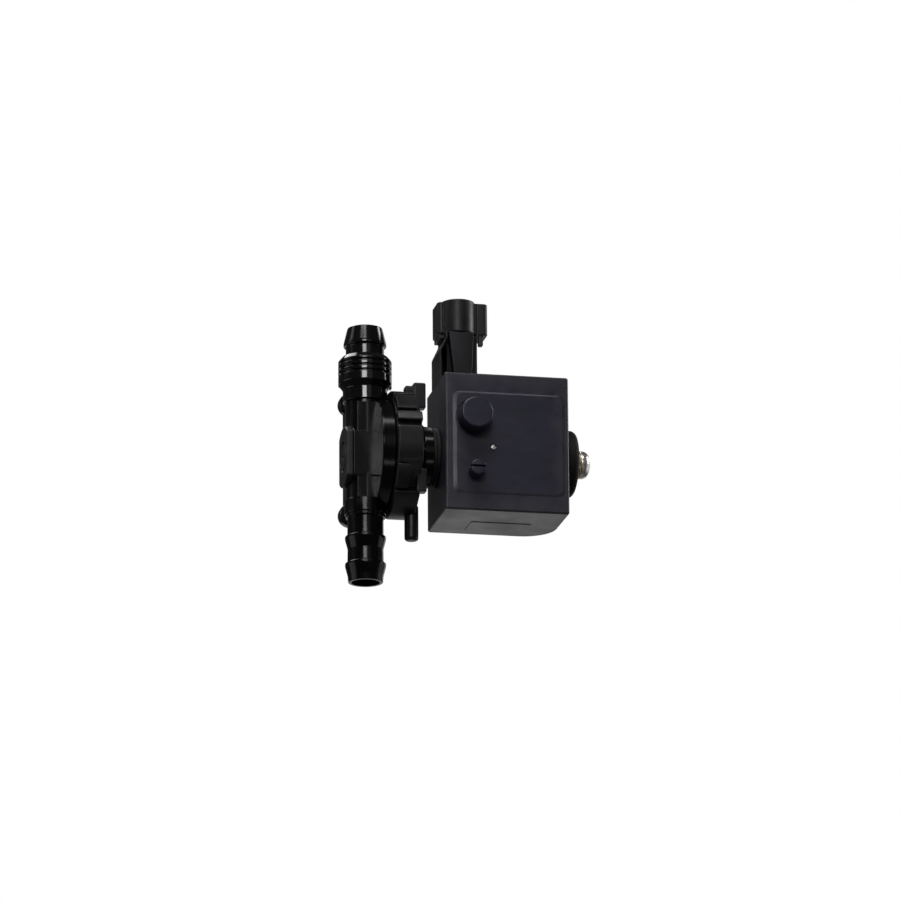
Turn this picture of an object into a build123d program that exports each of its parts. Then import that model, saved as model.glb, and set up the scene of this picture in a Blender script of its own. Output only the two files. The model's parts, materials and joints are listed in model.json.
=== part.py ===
from build123d import *
import math
import os

# In-line coolant solenoid valve, in millimetres.
# +X runs from the valve body to the coil head, +Z up the hose line from outlet to inlet,
# +Y to the back. The origin is the centre of the outlet's mouth.

# How far a cut runs past a face that it opens, and how far a joined piece runs into its neighbour
PAST = 1.0

# Hose line
HUB_Z = 55.6
LINE_TOP_Z = HUB_Z + 55.1
LINE_R = 8.4
HOSE_BORE_R = 6.0
HOSE_BORE_TOP_Z = HUB_Z - 17.0
PORT_R = 4.8
RIB_X = (-1.1, 0.7)
RIB_FRONT_Y = -LINE_R - 0.6
RIB_HUB_GAP = (12.0, 9.0)
RIB_PAD_X = (-5.0, 4.6)
RIB_PAD_FRONT_Y = -LINE_R
SHOULDER_R = 8.9
SHOULDER_Z = (29.0, 35.3)

# Outlet nozzle, measured up from its mouth
OUTLET_NECK_R = 7.6
OUTLET_CREST_R = 8.6
OUTLET_ROOT_Z = 27.8
OUTLET_STEPS_Z = (19.7, 8.1)
BARB_LAND = 1.2
BARB_TAPER = 4.2
BARB_NARROWING = 0.1
BARB_UNDERCUT = 0.3
TIP_R = 7.3
TIP_EDGE = 0.6

# Inlet nozzle and the ribbed collar that holds it, heights above the hub's axis
SOCKET_TOP_Z = HUB_Z + 22.5
COLLAR_TOP_Z = HUB_Z + 42.5
COLLAR_R = 11.3
COLLAR_FOOT_R = 9.4
COLLAR_WALL = 0.6
COLLAR_LEDGE = 3.0
COLLAR_FLARE_Z = (SOCKET_TOP_Z + 5.4, SOCKET_TOP_Z + 8.0)
COLLAR_TOP_BEVEL = (1.7, 2.2)
COLLAR_CLEARANCE = 0.2
COLLAR_NOTCH_DEPTH = 10.0
COLLAR_GROOVE_DEPTH = 0.8
COLLAR_GROOVE_WIDTH = 0.9
COLLAR_GROOVE_PITCH = 2.3
COLLAR_GROOVE_SLOPE = 0.15
COLLAR_FIRST_GROOVE_Z = COLLAR_TOP_Z - 8.6
INLET_NECK_R = 8.1
INLET_CREST_R = 9.05
INLET_CREST_Z = HUB_Z + 47.1
INLET_TIP_R = 7.5
SPIGOT_R = 6.6
SPIGOT_BOTTOM_Z = HUB_Z + 15.0
SPIGOT_GROOVE_DEPTH = 1.0
SPIGOT_GROOVE_Z = (SPIGOT_BOTTOM_Z + 2.0, SPIGOT_BOTTOM_Z + 4.0)
INLET_TAPER_Z = (SOCKET_TOP_Z + 2.0, SOCKET_TOP_Z + 4.0)
RING_SLACK = 0.1

# Hub, its rear cap and its flange. The hub's block and cap sit a little below the hub's axis.
BLOCK_Z = HUB_Z - 1.7
HUB_R = 13.0
HUB_HALF_Y = 8.8
CAP_R = 13.0
CAP_LEFT_X = -9.6
CAP_RIGHT_X = -6.6
CAP_EDGE_R = 1.0
CAP_GROOVE_R = (5.4, 6.6)
CAP_GROOVE_DEPTH = 0.6
CAP_SEAL_R = (7.0, 8.0)
CAP_SEAL_DEPTH = 0.7
CAP_PLUG_LENGTH = 1.4
CAP_PLUG_SLACK = 0.05
CHAMBER_R = 6.6
CHAMBER_RIGHT_X = 1.5
FLANGE_LEFT_X = 3.2
FLANGE_RIGHT_X = 9.0
FLANGE_R = 23.4
VALVE_CHAMBER_R = 15.0
VALVE_CHAMBER_X = 4.6
SEAT_BORE_R = 4.2
SEAT_RIM_R = 6.2
SEAT_FACE_X = 8.0
INLET_SLOT_HALF_Y = 3.6
INLET_SLOT_Z = (HUB_Z + 9.5, HUB_Z + 14.0)

# Mounting lugs behind the hose line
LUG_X = -4.1
LUG_RELATIVE_Z = (25.4, -23.1)
LUG_R = 4.9
LUG_HOLE_R = 2.2
LUG_Y = (11.6, 16.0)
LUG_ARM_HALF_X = 2.7
LUG_ARM_LOW_Y = 5.0
LUG_ARM_START = 0.8 * LUG_R
LUG_ARM_END = 15.0
LUG_HOLE_FRONT_Y = LUG_Y[0] - 6.0

# Bonnet, gasket and the lobed clamp ring
GASKET_X = (FLANGE_RIGHT_X, 9.7)
GASKET_R = (16.2, 19.6)
POPPET_ROOM_R = 8.8
BONNET_DISC_R = 20.2
BONNET_DISC_RIGHT_X = 16.0
NECK_R = 13.0
NECK_RIGHT_X = 27.2
RING_X = (9.2, 19.9)
RING_IN_R = 20.5
RING_ROOT_R = 24.6
LOBE_R = 27.3
LIP_LEFT_X = 16.2
LIP_IN_R = 13.3
# Each lobe: its two angles up from the front (-Y) towards the top, and its two X positions.
LOBES = (
    (-20.0, 13.6, *RING_X),
    (19.5, 29.5, *RING_X),
    (33.0, 56.5, 9.6, 18.0),
    (60.0, 96.0, 9.6, 18.6),
    (106.0, 140.0, *RING_X),
    (148.0, 182.0, *RING_X),
    (190.0, 224.0, *RING_X),
    (-95.0, -48.0, *RING_X),
    (-45.0, -22.0, RING_X[0], 14.6),
)
RING_BOSS_ANGLES = (144.0, 236.0)
RING_BOSS_R = 2.9
RING_BOSS_OUT = 0.2
RING_BOSS_X = (RING_X[0] + 1.4, RING_X[1] - 2.6)
TOP_LUG_X = (19.7, 25.0)
TOP_LUG_Y = (-6.0, -1.0)
TOP_LUG_Z = (HUB_Z + 20.0, HUB_Z + 31.2)
TOP_STEP_LEFT_X = 16.2
TOP_STEP_Z = (HUB_Z + 20.0, HUB_Z + 29.5)
SIDE_LUG_X = (18.0, 22.3)
SIDE_LUG_Y = (-20.5, -15.7)
SIDE_LUG_Z = (HUB_Z - 20.6, HUB_Z - 10.4)
PEG_X = 19.0
PEG_Y = -3.0
PEG_R = 2.95
PEG_BOTTOM_Z = HUB_Z - 37.4
PEG_TOP_Z = HUB_Z - 22.0

# Core tube, core and plunger
TUBE_R = 8.0
TUBE_WALL = 0.8
TUBE_LEFT_X = BONNET_DISC_RIGHT_X + 0.2
TUBE_RIGHT_X = 83.6
TUBE_RING_WALL = 1.6
TUBE_RING_X = (TUBE_LEFT_X + 2.0, TUBE_LEFT_X + 4.0)
PLUNGER_R = TUBE_R - TUBE_WALL - 0.1
PLUNGER_X = (22.0, 49.4)
PLUNGER_CHAMFER = 0.4
CORE_X = 52.0
SPRING_R = 2.8
SPRING_WIRE = 0.6
SPRING_POCKET_R = 3.3
SPRING_POCKET_X = 37.0
STEM_R = 2.4
STEM_RIGHT_X = PLUNGER_X[0] + 6.0
POPPET_X = (10.1, 13.0)
POPPET_R = 7.6
SEAL_X = (8.1, 10.9)
SEAL_R = 6.8

# Coil head
HEAD_X = (30.4, 83.4)
NECK_SEAL_R = (TUBE_R + 0.5, NECK_R - 0.3)
NECK_SEAL_X = (NECK_RIGHT_X, HEAD_X[0] - 0.3)
HEAD_Y = (-19.6, 19.6)
HEAD_Z = (HUB_Z - 27.2, HUB_Z + 32.4)
HEAD_WALL = 3.0
HEAD_BACK_RIGHT_R = 14.0
HEAD_EDGE_R = 1.0
PANEL_X = (35.4, 80.4)
PANEL_Z = (HUB_Z - 19.2, HUB_Z + 23.4)
PANEL_FRONT_Y = HEAD_Y[0] - 0.35
PANEL_CORNER_R = 3.0
YOKE_HALF_Y = 12.0
YOKE_Z = (HUB_Z - 18.1, HUB_Z + 16.0)
YOKE_THICK = 3.0
YOKE_FLOOR = 2.5
CAVITY_GAP = 0.1
YOKE_HOLE_R = TUBE_R + 0.08
HOUSING_HOLE_R = TUBE_R + 0.3
BOBBIN_GAP = 0.2
BOBBIN_X = (HEAD_X[0] + HEAD_WALL + YOKE_THICK + BOBBIN_GAP, HEAD_X[1] - HEAD_WALL - YOKE_THICK - BOBBIN_GAP)
BOBBIN_TUBE_R = 9.4
BOBBIN_BORE_R = 8.4
BOBBIN_FLANGE_R = 15.4
BOBBIN_FLANGE = 1.6
WINDING_R = 14.8

# Connector on top of the coil head
TOWER_X = (30.4, 47.4)
TOWER_Y = (-5.0, 9.0)
TOWER_FRONT_Y = -9.0
TOWER_CHEEK = 0.9
TOWER_NECK_X = 33.2
TOWER_FLARE_Z = (HUB_Z + 45.0, HUB_Z + 51.0)
TOWER_FACE_TOP_X = (34.4, 45.2)
TOWER_FACE_FOOT_X = (37.0, 44.2)
TOWER_HOLLOW_RIGHT_X = 34.2
TOWER_HOLLOW_BACK_Y = 3.0
TOWER_HOLLOW_TOP_Z = TOWER_FLARE_Z[0] + 3.0
SOCKET_CENTRE = (40.9, 1.0)
COLLAR_X = (30.4, 52.0)
COLLAR_Y = (-5.5, 7.5)
COLLAR_Z = (HUB_Z + 53.6, HUB_Z + 67.5)
COLLAR_CORNER_R = 1.8
BULGE_X = 39.6
BULGE_R = 7.3
BULGE_Y = 3.2
BULGE_TOP = 0.6
STEP_X = (31.0, 33.6)
STEP_Y = (-4.6, 6.0)
STEP_BOTTOM_Z = COLLAR_Z[0] - 2.2
NUB_X = (48.1, 50.0)
NUB_Y = (-5.0, -2.0)
NUB_BOTTOM_Z = COLLAR_Z[0] - 4.5
SOCKET_SIZE = (18.0, 9.4)
SOCKET_FLOOR_Z = COLLAR_Z[0] + 1.6
BLADE_SIZE = (0.8, 2.8)
BLADE_PITCH = 5.0
BLADE_CHAMFER = 0.25
BLADE_TOP_Z = COLLAR_Z[1] - 5.2
BLADE_BOTTOM_Z = HUB_Z + 36.0
LEAD_R = 0.5
LEAD_FOOT_GAP = 0.1
LEAD_WAY_HALF = (0.9, 1.9)
SEAL_FRAME = 1.2

# Features on the front of the coil head
ROUND_POST = (42.5, HUB_Z + 13.0)
ROUND_POST_R = 6.9
ROUND_POST_PROUD = 9.0
ROUND_POST_PEG_R = ROUND_POST_R - 2.0
ROUND_POST_EDGE_R = 0.7
SLOTTED_PLUG = (43.3, HUB_Z - 10.2)
SLOTTED_PLUG_R = 3.5
SLOTTED_PLUG_PROUD = 6.5
SLOTTED_PLUG_PEG_R = 2.0
SLOTTED_PLUG_EDGE_R = 0.5
SLOT_DEPTH = 1.6
SLOT_Z = (SLOTTED_PLUG[1] - 0.1, SLOTTED_PLUG[1] + 0.9)
INDEX_PIN = (50.6, HUB_Z)
INDEX_PIN_R = 1.1
INDEX_PIN_PROUD = 1.2
INDEX_PIN_EDGE_R = 0.6
SEAT_DEPTH = 3.0

# Fastening on the stud at the right end
STUD_R = 3.0
STUD_RIGHT_X = 94.8
END_DISC_X = (83.7, 89.9)
END_DISC_R = 14.3
END_DISC_EDGE_R = 1.6
WASHER_X = (89.9, 91.6)
WASHER_R = 6.2
NUT_X = (91.6, 96.3)
NUT_R = 5.9
NUT_DOME_R = 2.2

LOW = (Align.CENTER, Align.CENTER, Align.MIN)
AS_DRAWN = (Align.NONE, Align.NONE, Align.MIN)
CORNER = (Align.MIN, Align.MIN, Align.MIN)


def rod_x(radius, x_low, x_high, y=0.0, z=HUB_Z):
    return Pos(x_low, y, z) * Rot(0, 90, 0) * Cylinder(radius, x_high - x_low, align=LOW)


def rod_y(radius, y_low, y_high, x, z):
    return Pos(x, y_low, z) * Rot(-90, 0, 0) * Cylinder(radius, y_high - y_low, align=LOW)


def rod_z(radius, z_low, z_high, x=0.0, y=0.0):
    return Pos(x, y, z_low) * Cylinder(radius, z_high - z_low, align=LOW)


def block(x_pair, y_pair, z_pair):
    size = (x_pair[1] - x_pair[0], y_pair[1] - y_pair[0], z_pair[1] - z_pair[0])
    return Pos(x_pair[0], y_pair[0], z_pair[0]) * Box(*size, align=CORNER)


def ring_x(outer, inner, x_low, x_high):
    return rod_x(outer, x_low, x_high) - rod_x(inner, x_low - PAST, x_high + PAST)


def turned_z(points):
    """Solid of revolution about the hose line, from (radius, height) points."""
    return revolve(Plane.XZ * make_face(Polyline(*points, close=True)), Axis.Z)


def ring_sector(inner, outer, angle_low, angle_high, x_low, x_high):
    """Part of a ring about the solenoid's axis, between two angles up from the front."""
    sweep_angle = angle_high - angle_low
    solid = Cylinder(outer, x_high - x_low, arc_size=sweep_angle, align=AS_DRAWN)
    solid -= Cylinder(inner, x_high - x_low, align=LOW)
    # A cylinder starts at +X of its own frame; this turn brings that to the front and up.
    turned = Rot(0, 90, 0) * Rot(0, 0, 270 - angle_high) * solid
    return Pos(x_low, 0, HUB_Z) * turned


def on_ring(angle, radius):
    """Y and Z of a point at an angle up from the front of the clamp ring."""
    return -radius * math.cos(math.radians(angle)), HUB_Z + radius * math.sin(math.radians(angle))


def flat_sided_disc(radius, x_low, x_high, half_y):
    slab = block((x_low, x_high), (-half_y, half_y), (BLOCK_Z - radius, BLOCK_Z + radius))
    return rod_x(radius, x_low, x_high, z=BLOCK_Z) & slab


def make_outlet_nozzle():
    points = [(0, 0), (TIP_R - TIP_EDGE, 0), (TIP_R, TIP_EDGE)]
    for step_z in reversed(OUTLET_STEPS_Z):
        points.append((OUTLET_NECK_R - BARB_NARROWING, step_z - BARB_LAND - BARB_TAPER))
        points.append((OUTLET_CREST_R, step_z - BARB_LAND))
        points.append((OUTLET_CREST_R, step_z))
        points.append((OUTLET_NECK_R, step_z + BARB_UNDERCUT))
    points += [(OUTLET_NECK_R, OUTLET_ROOT_Z), (0, OUTLET_ROOT_Z)]
    return turned_z(points)


def make_lug(relative_z):
    z = HUB_Z + relative_z
    inward = -1.0 if relative_z > 0 else 1.0
    arm_z = sorted((z + inward * LUG_ARM_START, z + inward * LUG_ARM_END))
    arm = block((LUG_X - LUG_ARM_HALF_X, LUG_X + LUG_ARM_HALF_X), (LUG_ARM_LOW_Y, LUG_Y[1]), arm_z)
    return arm + rod_y(LUG_R, LUG_Y[0], LUG_Y[1], LUG_X, z)


def make_valve_body():
    body = rod_z(LINE_R, OUTLET_ROOT_Z, SOCKET_TOP_Z) + make_outlet_nozzle()
    body += flat_sided_disc(HUB_R, CAP_RIGHT_X, FLANGE_LEFT_X, HUB_HALF_Y)
    body += rod_x(FLANGE_R, FLANGE_LEFT_X, FLANGE_RIGHT_X)
    body += rod_z(SHOULDER_R, *SHOULDER_Z)
    # Front ribs, each on a narrow flat, below and above the hub.
    lower_z = (SHOULDER_Z[1] - PAST, HUB_Z - RIB_HUB_GAP[0])
    upper_z = (HUB_Z + RIB_HUB_GAP[1], SOCKET_TOP_Z - PAST)
    for z_pair in (lower_z, upper_z):
        body += block(RIB_X, (RIB_FRONT_Y, 0.0), z_pair)
        body += block(RIB_PAD_X, (RIB_PAD_FRONT_Y, 0.0), z_pair)
    for relative_z in LUG_RELATIVE_Z:
        body += make_lug(relative_z)
    body -= flat_sided_disc(CAP_R, CAP_LEFT_X, CAP_RIGHT_X, HUB_HALF_Y + PAST)
    # Notch in the flange that clears the inlet collar.
    body -= rod_z(COLLAR_R + COLLAR_CLEARANCE, SOCKET_TOP_Z, SOCKET_TOP_Z + COLLAR_NOTCH_DEPTH)
    # Outlet passage: hose bore, port into the rear chamber, seat bore through to the seat.
    body -= rod_z(HOSE_BORE_R, -PAST, HOSE_BORE_TOP_Z)
    body -= rod_z(PORT_R, HOSE_BORE_TOP_Z - PAST, HUB_Z)
    body -= rod_x(CHAMBER_R, CAP_RIGHT_X - PAST, CHAMBER_RIGHT_X)
    # Inlet passage: spigot socket, port, slot across to the ring chamber round the seat.
    body -= rod_z(SPIGOT_R, SPIGOT_BOTTOM_Z, SOCKET_TOP_Z + PAST)
    body -= rod_z(PORT_R, INLET_SLOT_Z[0], SOCKET_TOP_Z)
    body -= block((0.0, FLANGE_RIGHT_X), (-INLET_SLOT_HALF_Y, INLET_SLOT_HALF_Y), INLET_SLOT_Z)
    body -= rod_x(VALVE_CHAMBER_R, VALVE_CHAMBER_X, FLANGE_RIGHT_X + PAST)
    body += rod_x(SEAT_RIM_R, VALVE_CHAMBER_X - PAST, SEAT_FACE_X)
    body -= rod_x(SEAT_BORE_R, 0.0, SEAT_FACE_X + PAST)
    for relative_z in LUG_RELATIVE_Z:
        body -= rod_y(LUG_HOLE_R, LUG_HOLE_FRONT_Y, LUG_Y[1] + PAST, LUG_X, HUB_Z + relative_z)
    return body


def make_inlet_nozzle():
    seat_r = COLLAR_FOOT_R - COLLAR_WALL
    groove_r = SPIGOT_R - SPIGOT_GROOVE_DEPTH
    groove_low, groove_high = SPIGOT_GROOVE_Z
    points = [
        (HOSE_BORE_R, LINE_TOP_Z),
        (INLET_TIP_R - TIP_EDGE, LINE_TOP_Z),
        (INLET_TIP_R, LINE_TOP_Z - TIP_EDGE),
        (INLET_CREST_R, INLET_CREST_Z + BARB_LAND),
        (INLET_CREST_R, INLET_CREST_Z),
        (INLET_NECK_R, INLET_CREST_Z - BARB_UNDERCUT),
        (INLET_NECK_R, SOCKET_TOP_Z + COLLAR_LEDGE),
        (seat_r, SOCKET_TOP_Z + COLLAR_LEDGE),
        (seat_r, SOCKET_TOP_Z),
        (SPIGOT_R, SOCKET_TOP_Z),
        (SPIGOT_R, groove_high),
        (groove_r, groove_high),
        (groove_r, groove_low),
        (SPIGOT_R, groove_low),
        (SPIGOT_R, SPIGOT_BOTTOM_Z),
        (PORT_R, SPIGOT_BOTTOM_Z),
        (PORT_R, INLET_TAPER_Z[0]),
        (HOSE_BORE_R, INLET_TAPER_Z[1]),
    ]
    return turned_z(points)


def make_inlet_o_ring():
    groove_low, groove_high = SPIGOT_GROOVE_Z
    ring = rod_z(SPIGOT_R, groove_low + RING_SLACK, groove_high - RING_SLACK)
    return ring - rod_z(SPIGOT_R - SPIGOT_GROOVE_DEPTH, groove_low - PAST, groove_high + PAST)


def make_inlet_collar():
    seat_r = COLLAR_FOOT_R - COLLAR_WALL
    groove_r = COLLAR_R - COLLAR_GROOVE_DEPTH
    points = [
        (seat_r, SOCKET_TOP_Z),
        (COLLAR_FOOT_R, SOCKET_TOP_Z),
        (COLLAR_FOOT_R, COLLAR_FLARE_Z[0]),
        (COLLAR_R, COLLAR_FLARE_Z[1]),
    ]
    for count in range(3):
        z = COLLAR_FIRST_GROOVE_Z + count * COLLAR_GROOVE_PITCH
        points.append((COLLAR_R, z))
        points.append((groove_r, z + COLLAR_GROOVE_SLOPE))
        points.append((groove_r, z + COLLAR_GROOVE_WIDTH - COLLAR_GROOVE_SLOPE))
        points.append((COLLAR_R, z + COLLAR_GROOVE_WIDTH))
    points += [
        (COLLAR_R, COLLAR_TOP_Z - COLLAR_TOP_BEVEL[1]),
        (COLLAR_R - COLLAR_TOP_BEVEL[0], COLLAR_TOP_Z),
        (INLET_NECK_R, COLLAR_TOP_Z),
        (INLET_NECK_R, SOCKET_TOP_Z + COLLAR_LEDGE),
        (seat_r, SOCKET_TOP_Z + COLLAR_LEDGE),
    ]
    return turned_z(points)


def make_rear_cap():
    cap = flat_sided_disc(CAP_R, CAP_LEFT_X, CAP_RIGHT_X, HUB_HALF_Y)
    cap = fillet(cap.edges().group_by(Axis.X)[0], CAP_EDGE_R)
    cap -= ring_x(CAP_GROOVE_R[1], CAP_GROOVE_R[0], CAP_LEFT_X - PAST, CAP_LEFT_X + CAP_GROOVE_DEPTH)
    cap -= ring_x(CAP_SEAL_R[1], CAP_SEAL_R[0], CAP_RIGHT_X - CAP_SEAL_DEPTH, CAP_RIGHT_X + PAST)
    # Short plug that centres the cap in the rear chamber.
    plug_x = (CAP_RIGHT_X - CAP_SEAL_DEPTH / 2, CAP_RIGHT_X + CAP_PLUG_LENGTH)
    return cap + rod_x(CHAMBER_R - CAP_PLUG_SLACK, *plug_x)


def make_rear_cap_seal():
    return ring_x(CAP_SEAL_R[1], CAP_SEAL_R[0], CAP_RIGHT_X - CAP_SEAL_DEPTH, CAP_RIGHT_X)


def make_bonnet_gasket():
    return ring_x(GASKET_R[1], GASKET_R[0], *GASKET_X)


def make_bonnet_cover():
    cover = rod_x(BONNET_DISC_R, GASKET_X[1], BONNET_DISC_RIGHT_X)
    cover += rod_x(NECK_R, BONNET_DISC_RIGHT_X, NECK_RIGHT_X)
    cover -= rod_x(POPPET_ROOM_R, GASKET_X[1] - PAST, TUBE_LEFT_X)
    cover -= rod_x(TUBE_R, TUBE_LEFT_X, NECK_RIGHT_X + PAST)
    return cover - rod_x(TUBE_R + TUBE_RING_WALL, *TUBE_RING_X)


def make_bonnet_ring():
    ring = ring_x(RING_ROOT_R, RING_IN_R, RING_X[0], LIP_LEFT_X)
    ring += ring_x(RING_ROOT_R, LIP_IN_R, LIP_LEFT_X, RING_X[1])
    for angle_low, angle_high, x_low, x_high in LOBES:
        ring += ring_sector(RING_ROOT_R - PAST, LOBE_R, angle_low, angle_high, x_low, x_high)
    for angle in RING_BOSS_ANGLES:
        ring += rod_x(RING_BOSS_R, *RING_BOSS_X, *on_ring(angle, RING_ROOT_R + RING_BOSS_OUT))
    # Upper lug, on the right face.
    ring += block(TOP_LUG_X, TOP_LUG_Y, TOP_LUG_Z)
    # Low step left of the lug.
    ring += block((TOP_STEP_LEFT_X, RING_X[1]), TOP_LUG_Y, TOP_STEP_Z)
    # Side lug in front, below the middle.
    ring += block(SIDE_LUG_X, SIDE_LUG_Y, SIDE_LUG_Z)
    # Hanging peg with a rounded end.
    ring += rod_z(PEG_R, PEG_BOTTOM_Z + PEG_R, PEG_TOP_Z, PEG_X, PEG_Y)
    ring += Pos(PEG_X, PEG_Y, PEG_BOTTOM_Z + PEG_R) * Sphere(PEG_R)
    bore = rod_x(RING_IN_R, RING_X[0] - PAST, LIP_LEFT_X)
    return ring - bore - rod_x(LIP_IN_R, LIP_LEFT_X, TOP_LUG_X[1] + PAST)


def make_neck_seal():
    return ring_x(NECK_SEAL_R[1], NECK_SEAL_R[0], *NECK_SEAL_X)


def make_guide_tube():
    return ring_x(TUBE_R, TUBE_R - TUBE_WALL, TUBE_LEFT_X, TUBE_RIGHT_X)


def make_tube_o_ring():
    return ring_x(TUBE_R + TUBE_RING_WALL, TUBE_R, *TUBE_RING_X)


def make_fixed_core():
    core = rod_x(TUBE_R - TUBE_WALL, CORE_X, TUBE_RIGHT_X)
    return core + rod_x(STUD_R, TUBE_RIGHT_X, STUD_RIGHT_X)


def make_plunger():
    plunger = rod_x(PLUNGER_R, *PLUNGER_X)
    plunger = chamfer(plunger.edges(), PLUNGER_CHAMFER)
    plunger -= rod_x(SPRING_POCKET_R, SPRING_POCKET_X, PLUNGER_X[1] + PAST)
    return plunger - rod_x(STEM_R, PLUNGER_X[0] - PAST, STEM_RIGHT_X)


def make_stem():
    return rod_x(STEM_R, POPPET_X[1], STEM_RIGHT_X)


def make_poppet():
    cup = rod_x(POPPET_R, *POPPET_X)
    return cup - rod_x(SEAL_R, POPPET_X[0] - PAST, SEAL_X[1])


def make_seat_seal():
    return rod_x(SEAL_R, *SEAL_X)


def make_return_spring():
    """Plain sleeve with the outer and inner radii of the coil spring."""
    return ring_x(SPRING_R, SPRING_R - SPRING_WIRE, SPRING_POCKET_X, CORE_X)


def make_bobbin():
    left, right = BOBBIN_X
    bobbin = rod_x(BOBBIN_TUBE_R, left, right)
    bobbin += rod_x(BOBBIN_FLANGE_R, left, left + BOBBIN_FLANGE)
    bobbin += rod_x(BOBBIN_FLANGE_R, right - BOBBIN_FLANGE, right)
    return bobbin - rod_x(BOBBIN_BORE_R, left - PAST, right + PAST)


def make_winding():
    return ring_x(WINDING_R, BOBBIN_TUBE_R, BOBBIN_X[0] + BOBBIN_FLANGE, BOBBIN_X[1] - BOBBIN_FLANGE)


def make_yoke():
    """U-shaped bracket: two end plates on a floor under the winding."""
    left = HEAD_X[0] + HEAD_WALL
    right = HEAD_X[1] - HEAD_WALL
    outer = block((left, right), (-YOKE_HALF_Y, YOKE_HALF_Y), YOKE_Z)
    inner_x = (left + YOKE_THICK, right - YOKE_THICK)
    inner_y = (-YOKE_HALF_Y - PAST, YOKE_HALF_Y + PAST)
    yoke = outer - block(inner_x, inner_y, (YOKE_Z[0] + YOKE_FLOOR, YOKE_Z[1] + PAST))
    return yoke - rod_x(YOKE_HOLE_R, left - PAST, right + PAST)


def make_coil_housing():
    shell = block(HEAD_X, HEAD_Y, HEAD_Z)
    upright = shell.edges().filter_by(Axis.Z)
    back_right = upright.group_by(Axis.X)[-1].sort_by(Axis.Y)[-1]
    shell = fillet(back_right, HEAD_BACK_RIGHT_R)
    front = shell.faces().sort_by(Axis.Y)[0].edges()
    top = shell.faces().sort_by(Axis.Z)[-1].edges()
    bottom = shell.faces().sort_by(Axis.Z)[0].edges()
    left = shell.faces().sort_by(Axis.X)[0].edges()
    shell = fillet(ShapeList(set(front + top + bottom + left)), HEAD_EDGE_R)
    # Raised panel on the front face, open where the post and the plug stand.
    panel = block(PANEL_X, (PANEL_FRONT_Y, HEAD_Y[0] + PAST), PANEL_Z)
    shell += fillet(panel.edges().filter_by(Axis.Y), PANEL_CORNER_R)
    for centre, radius in ((ROUND_POST, ROUND_POST_R), (SLOTTED_PLUG, SLOTTED_PLUG_R)):
        shell -= rod_y(radius, HEAD_Y[0] - PAST, HEAD_Y[0], *centre)
    # Cavity for the yoke and the winding, open only through the tube's holes and the lead ways.
    cavity_x = (HEAD_X[0] + HEAD_WALL, HEAD_X[1] - HEAD_WALL)
    half_y = YOKE_HALF_Y + CAVITY_GAP
    shell -= block(cavity_x, (-half_y, half_y), (YOKE_Z[0] - CAVITY_GAP, YOKE_Z[1] + CAVITY_GAP))
    shell -= rod_x(BOBBIN_FLANGE_R + CAVITY_GAP, cavity_x[0] + YOKE_THICK, cavity_x[1] - YOKE_THICK)
    shell -= rod_x(HOUSING_HOLE_R, HEAD_X[0] - PAST, HEAD_X[1] + PAST)
    for lead_way in lead_ways(HUB_Z + BOBBIN_FLANGE_R - PAST, HEAD_Z[1] + PAST):
        shell -= lead_way
    # Holes for the pegs of the post and the plug, and for the pin.
    pegs = ((ROUND_POST, ROUND_POST_PEG_R), (SLOTTED_PLUG, SLOTTED_PLUG_PEG_R), (INDEX_PIN, INDEX_PIN_R))
    for centre, radius in pegs:
        shell -= rod_y(radius, HEAD_Y[0] - PAST, HEAD_Y[0] + SEAT_DEPTH, *centre)
    return shell


def blade_places():
    return [SOCKET_CENTRE[0] + side * BLADE_PITCH / 2 for side in (-1, 1)]


def lead_ways(z_low, z_high):
    """Narrow shafts that the blades and leads pass through."""
    y = SOCKET_CENTRE[1]
    half_x, half_y = LEAD_WAY_HALF
    y_pair = (y - half_y, y + half_y)
    return [block((x - half_x, x + half_x), y_pair, (z_low, z_high)) for x in blade_places()]


def drawn_through(points, y_low, y_high):
    """Solid with an outline of (X, Z) points, from y_low to y_high."""
    face = Plane.XZ * make_face(Polyline(*points, close=True))
    return Pos(0, y_high, 0) * extrude(face, amount=y_high - y_low)


def make_connector_tower():
    low, high = HEAD_Z[1], COLLAR_Z[0]
    left, right = TOWER_X
    flare_low, flare_high = TOWER_FLARE_Z
    side = [(TOWER_NECK_X, high), (TOWER_NECK_X, flare_high), (left, flare_low), (left, low)]
    core = side + [(right, low), (right, high)]
    tower = drawn_through(core, *TOWER_Y)
    # Hollow in the core, open to the front. The cheek closes it on the left.
    hollow_x = (left + TOWER_CHEEK, TOWER_HOLLOW_RIGHT_X)
    tower -= block(hollow_x, (TOWER_Y[0] - PAST, TOWER_HOLLOW_BACK_Y), (low - PAST, TOWER_HOLLOW_TOP_Z))
    # Left cheek that flares out to the housing's side.
    cheek = side + [(x + TOWER_CHEEK, z) for x, z in reversed(side)]
    tower += drawn_through(cheek, TOWER_FRONT_Y, TOWER_Y[1])
    # Tapering front face.
    face = [(TOWER_FACE_TOP_X[0], high), (TOWER_FACE_TOP_X[1], high),
            (TOWER_FACE_FOOT_X[1], low), (TOWER_FACE_FOOT_X[0], low)]
    tower += drawn_through(face, TOWER_FRONT_Y, TOWER_Y[0])
    for lead_way in lead_ways(low - PAST, high + PAST):
        tower -= lead_way
    return tower


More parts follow.
